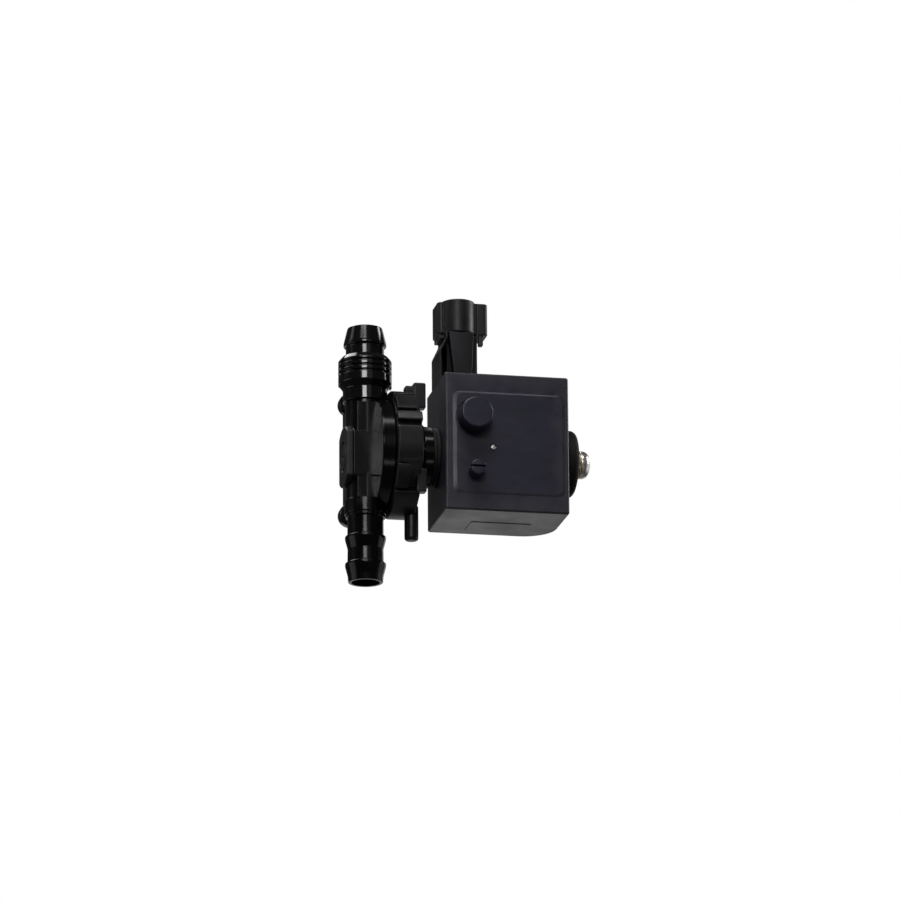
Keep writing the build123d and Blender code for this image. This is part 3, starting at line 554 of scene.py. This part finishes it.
def front_ribs():
    """Front ribs, each standing on a narrow flat."""
    shells = []
    below = (SHOULDER_Z[1] - 0.6, BLOCK_Z - RIB_HUB_GAP)
    above = (BLOCK_Z + RIB_HUB_GAP, SOCKET_Z - 0.8)
    for low, high in (below, above):
        shells.append(slab(RIB_X, (-LINE_R - RIB_PROUD, RIB_ROOT_Y), (low, high), edge=0.3))
        shells.append(slab(RIB_FLAT_X, (-LINE_R - RIB_FLAT_PROUD, RIB_ROOT_Y), (low, high - 0.6), edge=0.4))
    return shells


def body_cuts():
    """The hose line's bores, the chamber and the seat's bore, the room for the collar and the rear cap,
    and the holes through the lugs."""
    cuts = [line_cut(OUTLET_BORE_R, -PAST, OUTLET_BORE_TOP_Z),
            line_cut(PASSAGE_R, *OUTLET_PASSAGE_Z),
            line_cut(INLET_BORE_R, INLET_BORE_LOW_Z, SOCKET_Z + PAST),
            line_cut(PASSAGE_R, *INLET_PASSAGE_Z),
            line_cut(COLLAR_ROOM_R, SOCKET_Z, SOCKET_Z + COLLAR_ROOM_HEIGHT),
            rod("X", CHAMBER_R, CHAMBER_X, FLANGE_X[1] + PAST, HUB, 0),
            rod("X", SEAT_R, SEAT_X, FLANGE_X[1], HUB, 0),
            flat_sided(CAP_GAP_R, CAP_LOW[0] - PAST, CAP_SEAT_X, BLOCK_HALF_Y + CAP_GAP_Y, 0)]
    for z in LUG_Z:
        cuts.append(rod("Y", LUG_HOLE_R, LUG_HOLE_FRONT_Y, LUG_Y[1] + PAST, (LUG_X, 0, z), 0))
    return cuts


def make_valve_body():
    flange = [(FLANGE_X[0], 0), (FLANGE_X[0], FLANGE_R), (FLANGE_X[1], FLANGE_R), (FLANGE_X[1], 0)]
    shoulder = [(SHOULDER_Z[0], 0), (SHOULDER_Z[0], SHOULDER_R), (SHOULDER_Z[1], SHOULDER_R),
                (SHOULDER_Z[1], 0)]
    shells = [hose_line()]
    shells.append(flat_sided(BLOCK_R, CAP_SEAT_X, FLANGE_X[0] + 0.5, BLOCK_HALF_Y, 0.35))
    shells.append(lathe(flange, edge=0.6, segments=128))
    shells += front_ribs()
    # Shoulder band above the outlet, and the webs that stiffen the flange.
    shells.append(lathe(shoulder, "Z", LINE_AXIS, edge=0.6))
    for y in (-WEB_Y, WEB_Y):
        shells.append(slab((0.0, FLANGE_X[0] + 0.4), (y - WEB_HALF, y + WEB_HALF),
                           (HUB_Z - WEB_REACH, HUB_Z + WEB_REACH), edge=0.3))
    for z in LUG_Z:
        shells += lug(z)
    piece = combine("valve_body_moulding", shells, body_cuts())
    finish_piece(piece, BODY_BLACK, "valve", ["valve_body"])


def make_inlet():
    low, high = NOZZLE_LOW[2], NOZZLE_HIGH[2]
    crest_z, crest_r, stem_r, tip_r = HUB_Z + 47.1, 9.05, 8.1, 7.4
    foot_z, shoulder_z, foot_r = SOCKET_Z + 0.05, SOCKET_Z + 3.0, 8.3
    spigot_r, throat_r, bore_r = 6.55, 4.8, 6.0
    points = [(high, bore_r), (high, tip_r), (crest_z + 1.2, crest_r), (crest_z, crest_r),
              (crest_z - 0.35, stem_r), (shoulder_z, stem_r), (shoulder_z, foot_r), (foot_z, foot_r),
              (foot_z, spigot_r), (low, spigot_r), (low, throat_r), (SOCKET_Z + 2.0, throat_r),
              (SOCKET_Z + 4.0, bore_r)]
    piece = combine("inlet_nozzle_moulding", [lathe(points, "Z", LINE_AXIS, edge=0.35)])
    finish_piece(piece, INLET_BLACK, "valve", ["inlet_nozzle"])


def make_inlet_collar():
    low, high, radius = COLLAR_LOW[2], COLLAR_HIGH[2], COLLAR_HIGH[0]
    foot_r, bore_r, mouth_r = 9.4, 8.15, 8.35
    groove_count, groove_pitch, groove_depth = 3, 2.3, 0.85
    foot_top, flare_top, first_groove, rim_low = low + 5.4, low + 8.0, high - 8.6, high - 2.2
    grip_half, grip_inner, grip_z = 1.3, 8.6, (low + 6.5, high - 2.4)
    points = [(low, mouth_r), (low, foot_r), (foot_top, foot_r), (flare_top, radius)]
    for groove in range(groove_count):
        z = first_groove + groove * groove_pitch
        bottom = radius - groove_depth
        points += [(z, radius), (z + 0.15, bottom), (z + 0.8, bottom), (z + 0.95, radius)]
    points += [(rim_low, radius), (high - 0.2, radius - 1.7), (high, radius - 2.4), (high, bore_r),
               (low + 3, bore_r)]
    shells = [lathe(points, "Z", LINE_AXIS, edge=0.22)]
    # Two moulded grips on opposite sides.
    for side in (-1, 1):
        x_pair = sorted((side * grip_inner, side * (radius - 0.05)))
        shells.append(slab(x_pair, (-grip_half, grip_half), grip_z, edge=0.3))
    piece = combine("inlet_collar_moulding", shells)
    finish_piece(piece, COLLAR_BLACK, "valve", ["inlet_collar"])


def make_rear_cap():
    left, radius = CAP_LOW[0], (CAP_HIGH[2] - CAP_LOW[2]) / 2
    plate, spigot_r, spigot_start = 2.98, 6.5, 2.5
    groove_depth, groove_outer, groove_inner, groove_flare = 0.6, 6.5, 5.6, 0.2
    dimple_depth, dimple_r, dimple_flare = 0.5, 0.9, 0.5
    centre = (0, 0, BLOCK_Z)
    shells = [flat_sided(radius, left, left + plate, BLOCK_HALF_Y, 0.5),
              rod("X", spigot_r, left + spigot_start, CAP_HIGH[0])]
    groove = lathe([(left - PAST, groove_outer + groove_flare), (left + groove_depth, groove_outer),
                    (left + groove_depth, groove_inner), (left - PAST, groove_inner - groove_flare)],
                   centre=centre, edge=0)
    dimple = lathe([(left - PAST, 0), (left - PAST, dimple_r + dimple_flare), (left + dimple_depth, dimple_r),
                    (left + dimple_depth, 0)], centre=centre, edge=0)
    piece = combine("rear_cap_moulding", shells, [groove, dimple])
    finish_piece(piece, CAP_BLACK, "valve", ["rear_cap"])


# ---------------------------------------------------------------- clamp ring, bonnet and neck
RING_X = (RING_LOW[0], 19.9)
RING_ROOT_R = 24.6
RING_FLOOR_X = 16.2
RING_INNER_R = 20.5
RING_NECK_R = 13.3
LOBE_R = RING_HIGH[1]
# First and last angle, then first and last X.
LOBES = (
    (-20.0, 13.6, *RING_X), (19.5, 29.5, *RING_X), (33.0, 56.5, 9.6, 18.0), (60.0, 96.0, 9.6, 18.6),
    (106.0, 140.0, *RING_X), (148.0, 182.0, *RING_X), (190.0, 224.0, *RING_X), (-95.0, -48.0, *RING_X),
    (-45.0, -22.0, RING_X[0], 14.6),
)
BOSS_ANGLES = (144.0, 236.0)
BOSS_R = 2.9
BLOCK_Y = (-6.0, -1.0)
BLOCK_LOW_Z = HUB_Z + 20.0
FRONT_BLOCK = ((18.0, 22.3), (-20.5, -15.7), (HUB_Z - 20.6, HUB_Z - 10.4))
PEG_R = 2.95
PEG_X = 19.0
PEG_Y = -3.0
PEG_TOP_Z = HUB_Z - 22
SLOT_R = 1.5
SLOT_CIRCLE_R = 18.6
SLOT_DEPTH = 0.9


def ring_point(angle, radius):
    """Y and Z at an angle up from the front of the ring."""
    return (-radius * cos(radians(angle)), HUB_Z + radius * sin(radians(angle)))


def lobe(low, high, x_low, x_high):
    steps = max(3, int((high - low) / 3))
    outer = [ring_point(low + (high - low) * k / steps, LOBE_R) for k in range(steps + 1)]
    inner = [ring_point(high - (high - low) * k / steps, RING_ROOT_R - 1.5) for k in range(steps + 1)]
    return prism(outer + inner, "X", x_low, x_high, edge=0.55)


def make_bonnet_ring():
    root = [(RING_X[0], RING_INNER_R), (RING_X[0], RING_ROOT_R), (RING_X[1], RING_ROOT_R),
            (RING_X[1], RING_NECK_R), (RING_FLOOR_X, RING_NECK_R), (RING_FLOOR_X, RING_INNER_R)]
    shells = [lathe(root, edge=0.5, segments=128)]
    shells += [lobe(*values) for values in LOBES]
    for angle in BOSS_ANGLES:
        y, z = ring_point(angle, RING_ROOT_R + 0.2)
        shells.append(rod("X", BOSS_R, RING_X[0] + 1.4, RING_X[1] - 2.6, (0, y, z), edge=0.5, segments=40))
    # Block on top, in two depths, and a smaller one low on the front.
    shells.append(slab((19.7, RING_HIGH[0]), BLOCK_Y, (BLOCK_LOW_Z, HUB_Z + 31.2), edge=0.8))
    shells.append(slab((RING_FLOOR_X, RING_X[1] + 0.4), BLOCK_Y, (BLOCK_LOW_Z, HUB_Z + 29.5), edge=0.4))
    shells.append(slab(*FRONT_BLOCK, edge=0.7))
    peg_low = RING_LOW[2]
    peg = [(peg_low, 0), (peg_low, PEG_R), (PEG_TOP_Z, PEG_R), (PEG_TOP_Z, 0)]
    shells.append(lathe(peg, "Z", (PEG_X, PEG_Y, 0), edge=1.9, segments=48))
    cuts = [rod("X", RING_INNER_R, RING_X[0] - PAST, RING_FLOOR_X, HUB, 0, 128),
            rod("X", RING_NECK_R, 16.0, 30.0, HUB, 0, 96)]
    # Slots between the lobes on the ring's right-hand face.
    for angle in range(-15, 345, 30):
        y, z = ring_point(angle, SLOT_CIRCLE_R)
        cuts.append(rod("X", SLOT_R, RING_X[1] - SLOT_DEPTH, RING_X[1] + PAST, (0, y, z), 0, 24))
    piece = combine("bonnet_ring_moulding", shells, cuts)
    finish_piece(piece, RING_BLACK, "valve", ["bonnet_ring"])


def make_bonnet():
    left, right = NECK_LOW[0], NECK_HIGH[0]
    tube_r, sleeve_r, neck_r, waist_r, plate_r = 8.0, 8.8, 13.0, 12.5, 20.2
    plate_x, step_x, waist_x, waist_slope = 16.0, 16.2, (21.9, 22.9), 0.5
    points = [(left, sleeve_r), (left, plate_r), (plate_x, plate_r), (plate_x, neck_r),
              (waist_x[0] - waist_slope, neck_r), (waist_x[0], waist_r), (waist_x[1], waist_r),
              (waist_x[1] + waist_slope, neck_r), (right, neck_r), (right, tube_r), (step_x, tube_r),
              (step_x, sleeve_r)]
    piece = combine("bonnet_moulding", [lathe(points, edge=0.35)])
    finish_piece(piece, BODY_BLACK, "valve", ["bonnet_cover"])


def make_neck_seal():
    left, right = SEAL_LOW[0], SEAL_HIGH[0]
    middle = (left + right) / 2
    inner_r, outer_r, groove_r, groove_half = 8.5, 12.7, 12.2, 0.3
    seal = [(left, inner_r), (left, outer_r), (middle - groove_half, outer_r), (middle, groove_r),
            (middle + groove_half, outer_r), (right, outer_r), (right, inner_r)]
    piece = combine("neck_seal_ring", [lathe(seal, edge=0.4)])
    finish_piece(piece, SEAL_RUBBER, "valve", ["neck_seal"])


# ---------------------------------------------------------------- coil head
BACK_RIGHT_R = 14.0
FACE_Y = -19.6
PANEL_PROUD = 0.35
PANEL_X = (35.4, 80.4)
PANEL_Z = (HUB_Z - 19.2, HUB_Z + 23.4)
PAD_X = (45.0, 71.0)
PAD_Y = (-1.0, 14.0)
PAD_PROUD = 0.22
HUB_BORE_R = 8.3
COIL_R = 15.5
COIL_WALL = 3.0
COIL_HALF_Y = 12.1
COIL_Z = (HUB_Z - 18.2, HUB_Z + 16.1)


def front_panel():
    """Raised panel with sloping sides; each layer is (how proud it stands, how far its slope spreads)."""
    layers = []
    for proud, spread in ((-0.03, 1.0), (0.03, 0.85), (PANEL_PROUD - 0.04, 0.15), (PANEL_PROUD, 0.0)):
        outline = rounded_rectangle((PANEL_X[0] - 2.0 * spread, PANEL_X[1] + 1.4 * spread),
                                    (PANEL_Z[0] - 1.0 * spread, PANEL_Z[1] + 1.0 * spread), (3.0,) * 4, 6)
        layers.append((FACE_Y - proud, outline))
    return loft(layers, "Y")


def make_housing():
    x_pair, z_pair = (HEAD_LOW[0], HEAD_HIGH[0]), (HEAD_LOW[2], HEAD_HIGH[2])
    y_pair = (FACE_Y, HEAD_HIGH[1])
    outline = rounded_rectangle(x_pair, y_pair, (1.0, 1.0, BACK_RIGHT_R, 1.0), 10)
    shells = [prism(outline, "Z", z_pair[0], z_pair[1], edge=0.9, segments=4)]
    shells.append(front_panel())
    # Blank raised pad on the underside.
    pad = rounded_rectangle(PAD_X, PAD_Y, (1.5,) * 4, 6)
    shells.append(prism(pad, "Z", z_pair[0] - PAD_PROUD, z_pair[0] + 1.0, edge=0.15))
    cuts = [rod("X", HUB_BORE_R, x_pair[0] - PAST, x_pair[1] + PAST, HUB, 0, 96)]
    cavity_x = (x_pair[0] + COIL_WALL, x_pair[1] - COIL_WALL)
    cuts.append(slab(cavity_x, (-COIL_HALF_Y, COIL_HALF_Y), COIL_Z, 0))
    cuts.append(rod("X", COIL_R, cavity_x[0] + COIL_WALL, cavity_x[1] - COIL_WALL, HUB, 0, 96))
    # Sink ring round the big post.
    sink_y = FACE_Y + 0.25
    sink = [(FACE_Y - PAST, 7.9), (sink_y, 7.7), (sink_y, 7.1), (FACE_Y - PAST, 6.95)]
    cuts.append(lathe(sink, "Y", front_centre(POST_LOW, POST_HIGH), 0, 64))
    piece = combine("coil_housing_moulding", shells, cuts)
    finish_piece(piece, HOUSING_BLUE, "coil_head", ["coil_housing"])


def make_tower():
    left, right, back = TOWER_LOW[0], TOWER_HIGH[0], TOWER_HIGH[1]
    front, low, high = TOWER_LOW[1], TOWER_LOW[2] - 0.8, TOWER_HIGH[2]
    wall, neck_x, flare = 0.9, 33.2, (HUB_Z + 45.0, HUB_Z + 51.0)
    cheek = [(neck_x, high), (neck_x, flare[1]), (left, flare[0]), (left, low), (left + wall, low),
             (left + wall, flare[0]), (neck_x + wall, flare[1]), (neck_x + wall, high)]
    core = [(neck_x, high), (neck_x, flare[1]), (left, flare[0]), (left, low), (right, low), (right, high)]
    face = [(34.4, high), (45.2, high), (44.2, low), (37.0, low)]
    shells = [prism(core, "Y", -5.0, back, edge=0.5), prism(cheek, "Y", front, back - 0.5, edge=0.4),
              prism(face, "Y", front, -4.0, edge=0.5)]
    # The hollow's left side follows the inside of the cheek, so that the cheek stays whole.
    hollow_low, hollow_top, hollow_right = TOWER_LOW[2] - 1.5, flare[0] + 3.0, 34.2
    lean = (neck_x - left) * (hollow_top - flare[0]) / (flare[1] - flare[0])
    hollow_outline = [(left + wall, hollow_low), (hollow_right, hollow_low), (hollow_right, hollow_top),
                      (left + wall + lean, hollow_top), (left + wall, flare[0])]
    hollow = prism(hollow_outline, "Y", front - PAST, 3.0, 0)
    piece = combine("connector_tower_moulding", shells, [hollow])
    finish_piece(piece, TOWER_BLACK, "coil_head", ["connector_tower"])


def make_shell():
    x_pair, z_low, z_high = (SHELL_LOW[0], SHELL_HIGH[0]), TOWER_HIGH[2], SHELL_HIGH[2] - 0.6
    y_pair, middle_y = (-5.5, 7.5), 1.0
    bulge_x, bulge_r, bulge_offset = 39.6, 7.3, 3.2
    left_block = ((31.0, 33.6), (-4.6, 6.0), (z_low - 2.2, z_low + 1.0))
    front_block = ((48.1, 50.0), (-5.0, -2.0), (SHELL_LOW[2], z_low + 1.0))
    window_frame = ((x_pair[1] - 0.6, x_pair[1]), (-2.6, 4.6), (z_low + 3.0, z_low + 4.2))
    mouth_x, mouth_y, mouth_floor = (31.9, 49.9), (-3.7, 5.7), z_low + 1.6
    groove_r, groove_x, groove_out = 0.55, (32.9, 47.5), 0.2
    slit_half, slit_x, slit_y = 0.4, (38.4, 43.4), (-0.4, 2.4)
    outline = rounded_rectangle(x_pair, y_pair, (1.8,) * 4, 6)
    shells = [prism(outline, "Z", z_low, z_high, edge=0.5)]
    for side in (-1, 1):
        centre = (bulge_x, middle_y + side * bulge_offset, 0)
        shells.append(rod("Z", bulge_r, z_low, SHELL_HIGH[2], centre, edge=0.7, segments=72))
    shells.append(slab(*left_block, edge=0.4))
    shells.append(slab(*front_block, edge=0.4))
    # Latch window frame on the right end.
    shells.append(slab(*window_frame, edge=0.2))
    mouth = rounded_rectangle(mouth_x, mouth_y, (1.0,) * 4, 5)
    cuts = [prism(mouth, "Z", mouth_floor, z_high + 3, 0)]
    # Grooves that part the middle from the side blocks, front and back.
    for x in groove_x:
        for y in (y_pair[0] - groove_out, y_pair[1] + groove_out):
            cuts.append(rod("Z", groove_r, z_low - PAST, z_high + 2, (x, y, 0), 0, 20))
    # Slits that the terminal blades stand in.
    for x in slit_x:
        cuts.append(slab((x - slit_half, x + slit_half), slit_y, (z_low - PAST, z_low + 3), 0))
    piece = combine("connector_shell_moulding", shells, cuts)
    finish_piece(piece, CONNECTOR_BLACK, "coil_head", ["connector_shell"])


def make_round_post():
    front, back, radius = POST_LOW[1], POST_HIGH[1], (POST_HIGH[0] - POST_LOW[0]) / 2
    peg_r = 4.9
    shape = [(front, 0), (front, radius - 0.2), (FACE_Y - 0.9, radius), (FACE_Y, radius), (back, peg_r),
             (back, 0)]
    piece = combine("round_post_moulding", [lathe(shape, "Y", front_centre(POST_LOW, POST_HIGH), 0.8)])
    finish_piece(piece, HOUSING_BLUE, "coil_head", ["round_post"])


def make_slotted_plug():
    plug = front_centre(PLUG_LOW, PLUG_HIGH)
    front, back, radius = PLUG_LOW[1], PLUG_HIGH[1], (PLUG_HIGH[0] - PLUG_LOW[0]) / 2
    peg_r, slot_depth, slot_reach, foot_depth = 2.0, 1.8, 5, 1.2
    foot_top, foot_low, foot_top_half, foot_low_half = plug[2] - 1.0, plug[2] - 3.2, 2.6, 1.7
    shape = [(front, 0), (front, radius - 0.15), (FACE_Y - 1.8, radius), (FACE_Y, radius), (FACE_Y, peg_r),
             (back, peg_r), (back, 0)]
    slot = slab((plug[0] - slot_reach, plug[0] + slot_reach), (front - PAST, front + slot_depth),
                (plug[2] - 0.1, plug[2] + 0.9), 0)
    foot_outline = [(plug[0] - foot_top_half, foot_top), (plug[0] + foot_top_half, foot_top),
                    (plug[0] + foot_low_half, foot_low), (plug[0] - foot_low_half, foot_low)]
    foot = prism(foot_outline, "Y", front + foot_depth, FACE_Y, edge=0.4)
    piece = combine("slotted_plug_moulding", [lathe(shape, "Y", plug, 0.6), foot], [slot])
    finish_piece(piece, HOUSING_BLUE, "coil_head", ["slotted_plug"])


def make_index_pin():
    front, back, radius = PIN_LOW[1], PIN_HIGH[1], 1.1
    shape = [(front, 0), (front, radius), (back, radius), (back, 0)]
    piece = combine("index_pin_turned", [lathe(shape, "Y", front_centre(PIN_LOW, PIN_HIGH), 0.7, 40)])
    finish_piece(piece, NUT_STEEL, "coil_head", ["index_pin"])


# ---------------------------------------------------------------- end fastening
STUD_HOLE_R = 3.02


def make_end_disc():
    left, right, radius = DISC_LOW[0], DISC_HIGH[0], DISC_HIGH[1]
    shape = [(left, STUD_HOLE_R), (left, radius), (right - 2.0, radius), (right - 0.5, radius - 1.2),
             (right - 0.5, 8.2), (right, 7.6), (right, STUD_HOLE_R)]
    piece = combine("end_disc_moulding", [lathe(shape, edge=0.9)])
    finish_piece(piece, DISC_RUBBER, "valve", ["end_disc"])


def make_end_washer():
    left, right, radius = WASHER_LOW[0], WASHER_HIGH[0], 6.2
    shape = [(left, STUD_HOLE_R), (left, radius), (right, radius), (right, STUD_HOLE_R)]
    piece = combine("end_washer_stamped", [lathe(shape, edge=0.25)])
    finish_piece(piece, WASHER_ZINC, "valve", ["end_washer"])


def make_dome_nut():
    left, right = NUT_LOW[0], NUT_HIGH[0]
    skirt_r, hole_end = 5.9, 94.9
    slot_half_y, slot_half_z, slot_depth = 0.6, 3.0, 1.5
    shape = [(left, STUD_HOLE_R), (left, skirt_r), (left + 2.0, skirt_r), (left + 3.6, 5.0), (right, 2.9),
             (right, 0), (hole_end, 0), (hole_end, STUD_HOLE_R)]
    slot = slab((right - slot_depth, right + PAST), (-slot_half_y, slot_half_y),
                (HUB_Z - slot_half_z, HUB_Z + slot_half_z), 0)
    piece = combine("dome_nut_turned", [lathe(shape, edge=0.8)], [slot])
    finish_piece(piece, NUT_STEEL, "valve", ["dome_nut"])


# ---------------------------------------------------------------- spring and winding
def tube_along(points, radius, sides=10):
    """A round wire through the points, closed at both ends."""
    verts, faces = [], []
    for index, point in enumerate(points):
        before, after = points[max(index - 1, 0)], points[min(index + 1, len(points) - 1)]
        forward = (Vector(after) - Vector(before)).normalized()
        across = forward.cross(Vector((1, 0, 0))).normalized()
        up = forward.cross(across)
        for side in range(sides):
            turn = 2 * pi * side / sides
            verts.append(tuple(Vector(point) + across * radius * cos(turn) + up * radius * sin(turn)))
    for ring in range(len(points) - 1):
        for side in range(sides):
            nxt = (side + 1) % sides
            start, end = ring * sides, (ring + 1) * sides
            faces.append((start + side, start + nxt, end + nxt, end + side))
    faces.append(tuple(range(sides)))
    faces.append(tuple(range((len(points) - 1) * sides, len(points) * sides)))
    return new_bmesh(verts, faces)


def make_spring():
    left, right = SPRING_LOW[0], SPRING_HIGH[0]
    wire, turns, per_turn = 0.3, 9, 24
    radius = SPRING_HIGH[1] - wire
    points = []
    for step in range(turns * per_turn + 1):
        t = step / (turns * per_turn)
        turn = 2 * pi * turns * t
        along = left + wire + (right - left - 2 * wire) * t
        points.append((along, radius * cos(turn), HUB_Z + radius * sin(turn)))
    piece = combine("return_spring_wire", [tube_along(points, wire)])
    finish_piece(piece, STEEL, "valve", ["return_spring"])
    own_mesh(piece)


def make_winding():
    """A solid ring whose outside is a row of half-round turns along the bobbin."""
    left, right, radius = WINDING_LOW[0], WINDING_HIGH[0], WINDING_HIGH[1]
    wire, overlap, inner_r, bulge_steps = 0.45, 0.98, 9.4, 4
    turns = int((right - left) / (2 * wire))
    points = [(left, inner_r)]
    for turn in range(turns):
        middle = left + (right - left) * (turn + 0.5) / turns
        for step in range(bulge_steps + 1):
            angle = pi - pi * step / bulge_steps
            points.append((middle + wire * overlap * cos(angle), radius - wire + wire * sin(angle)))
    points.append((right, inner_r))
    piece = combine("coil_winding_wound", [lathe(points, edge=0)])
    finish_piece(piece, COPPER, "coil_head", ["coil_winding"])


make_valve_body()
make_inlet()
make_inlet_collar()
make_rear_cap()
make_bonnet_ring()
make_bonnet()
make_neck_seal()
make_housing()
make_tower()
make_shell()
make_round_post()
make_slotted_plug()
make_index_pin()
make_end_disc()
make_end_washer()
make_dome_nut()
make_spring()
make_winding()


# ---------------------------------------------------------------- floor, light and camera, in metres
MIDDLE = Vector((0.045, 0.0, HUB_Z * MM))
FLOOR_Z = -0.9
FLOOR_HALF = 8.0
PAPER_GLOW = 0.78
ROOM_STRENGTH = 0.05
CAMERA_AZIMUTH, CAMERA_ELEVATION, CAMERA_ROLL = radians(-11.6), radians(-16.0), radians(-0.4)
CAMERA_DISTANCE = 2.6
VIEW_WIDTH = 0.378
VIEW_OFFSET = (0.0356, 0.0020)

# Name, azimuth and elevation in degrees seen from the object, distance, size, brightness.
LIGHTS = (
    ("overhead", -24, 56, 1.2, (0.5, 0.4), 9.0),
    ("overhead_strip", 11, 60, 1.4, (0.4, 0.16), 8.0),
    ("front_sheet", 9, 17, 1.6, (0.56, 0.6), 0.28),
    ("window", -15, 17, 1.5, (0.5, 0.14), 14.0),
    ("low_front_strip", 12, -29, 1.4, (0.4, 0.12), 2.2),
    ("table_card", 172, -72, 0.75, (0.6, 0.5), 0.15),
    ("low_back_card", 172, -17, 1.6, (1.5, 0.7), 0.62),
    ("top_back", -145, 55, 1.3, (0.8, 0.6), 4.5),
    ("right_side", 95, 25, 1.3, (0.4, 0.6), 8.0),
    ("left_side", -100, 30, 1.3, (0.3, 0.5), 1.0),
    ("left_card", -94, -8, 1.3, (0.9, 0.9), 0.9),
    ("right_card", 92, -10, 1.3, (0.9, 0.9), 0.7),
    ("back_top_card", 140, 14, 1.4, (0.8, 0.7), 0.8),
)


def stage_material():
    """Pale backlit paper, so that the floor is as pale far from the lights as it is under them."""
    material, tree, shader, place = node_material("floor_paper")
    tone = noise(tree, place, scale=3.0, detail=3.0)
    paper = mix_colour(tree, tone, (0.26, 0.26, 0.26), (0.32, 0.32, 0.32))
    tree.links.new(paper, shader.inputs["Base Color"])
    shader.inputs["Roughness"].default_value = 0.85
    shader.inputs["Emission Color"].default_value = (1.0, 1.0, 0.99, 1.0)
    shader.inputs["Emission Strength"].default_value = PAPER_GLOW
    return material


def make_floor():
    corners = [(x * FLOOR_HALF, y * FLOOR_HALF, FLOOR_Z) for x, y in ((-1, -1), (1, -1), (1, 1), (-1, 1))]
    mesh = bpy.data.meshes.new("floor")
    mesh.from_pydata(corners, [], [(0, 1, 2, 3)])
    floor = bpy.data.objects.new("floor", mesh)
    bpy.context.scene.collection.objects.link(floor)
    mesh.materials.append(stage_material())
    # The cards and lamps light the object, so the floor's own glow is kept off it.
    floor.visible_diffuse = False
    floor.visible_glossy = False


def direction(azimuth, elevation):
    """Unit vector from the object; azimuth 0 is the front and grows towards the right, in radians."""
    return Vector((cos(elevation) * sin(azimuth), -cos(elevation) * cos(azimuth), sin(elevation)))


def soft_light(name, azimuth, elevation, distance, size, radiance):
    """A rectangular light of a set brightness that faces the object."""
    data = bpy.data.lights.new(name, "AREA")
    data.shape = "RECTANGLE"
    data.size, data.size_y = size
    data.energy = radiance * pi * size[0] * size[1]
    lamp = bpy.data.objects.new(name, data)
    bpy.context.scene.collection.objects.link(lamp)
    outward = direction(radians(azimuth), radians(elevation))
    lamp.location = MIDDLE + outward * distance
    lamp.visible_camera = False
    lamp.rotation_euler = (MIDDLE - lamp.location).to_track_quat("-Z", "Y").to_euler()


def make_world():
    """White for the camera and a dim room for everything else."""
    world = bpy.data.worlds.new("studio")
    bpy.context.scene.world = world
    world.use_nodes = True
    tree = world.node_tree
    tree.nodes.clear()
    output = tree.nodes.new("ShaderNodeOutputWorld")
    seen = tree.nodes.new("ShaderNodeBackground")
    seen.inputs["Color"].default_value = (1.0, 1.0, 1.0, 1)
    light = tree.nodes.new("ShaderNodeBackground")
    light.inputs["Color"].default_value = (1.0, 0.98, 0.97, 1)
    light.inputs["Strength"].default_value = ROOM_STRENGTH
    rays = tree.nodes.new("ShaderNodeLightPath")
    mix = tree.nodes.new("ShaderNodeMixShader")
    tree.links.new(rays.outputs["Is Camera Ray"], mix.inputs["Fac"])
    tree.links.new(light.outputs["Background"], mix.inputs[1])
    tree.links.new(seen.outputs["Background"], mix.inputs[2])
    tree.links.new(mix.outputs["Shader"], output.inputs["Surface"])


def make_camera():
    outward = direction(CAMERA_AZIMUTH, CAMERA_ELEVATION)
    right = Vector((cos(CAMERA_AZIMUTH), sin(CAMERA_AZIMUTH), 0))
    up = outward.cross(right)
    turned_right = right * cos(CAMERA_ROLL) + up * sin(CAMERA_ROLL)
    turned_up = up * cos(CAMERA_ROLL) - right * sin(CAMERA_ROLL)
    aim = Vector((0, 0, HUB_Z * MM)) + turned_right * VIEW_OFFSET[0] + turned_up * VIEW_OFFSET[1]
    data = bpy.data.cameras.new("camera")
    data.sensor_width = 36.0
    data.lens = data.sensor_width * CAMERA_DISTANCE / VIEW_WIDTH
    data.clip_end = 50.0
    camera = bpy.data.objects.new("camera", data)
    bpy.context.scene.collection.objects.link(camera)
    turn = Matrix((turned_right, turned_up, outward)).transposed().to_4x4()
    camera.matrix_world = Matrix.Translation(aim + outward * CAMERA_DISTANCE) @ turn
    bpy.context.scene.camera = camera


make_floor()
make_world()
for light in LIGHTS:
    soft_light(*light)
make_camera()
bpy.context.scene.view_settings.view_transform = "Standard"
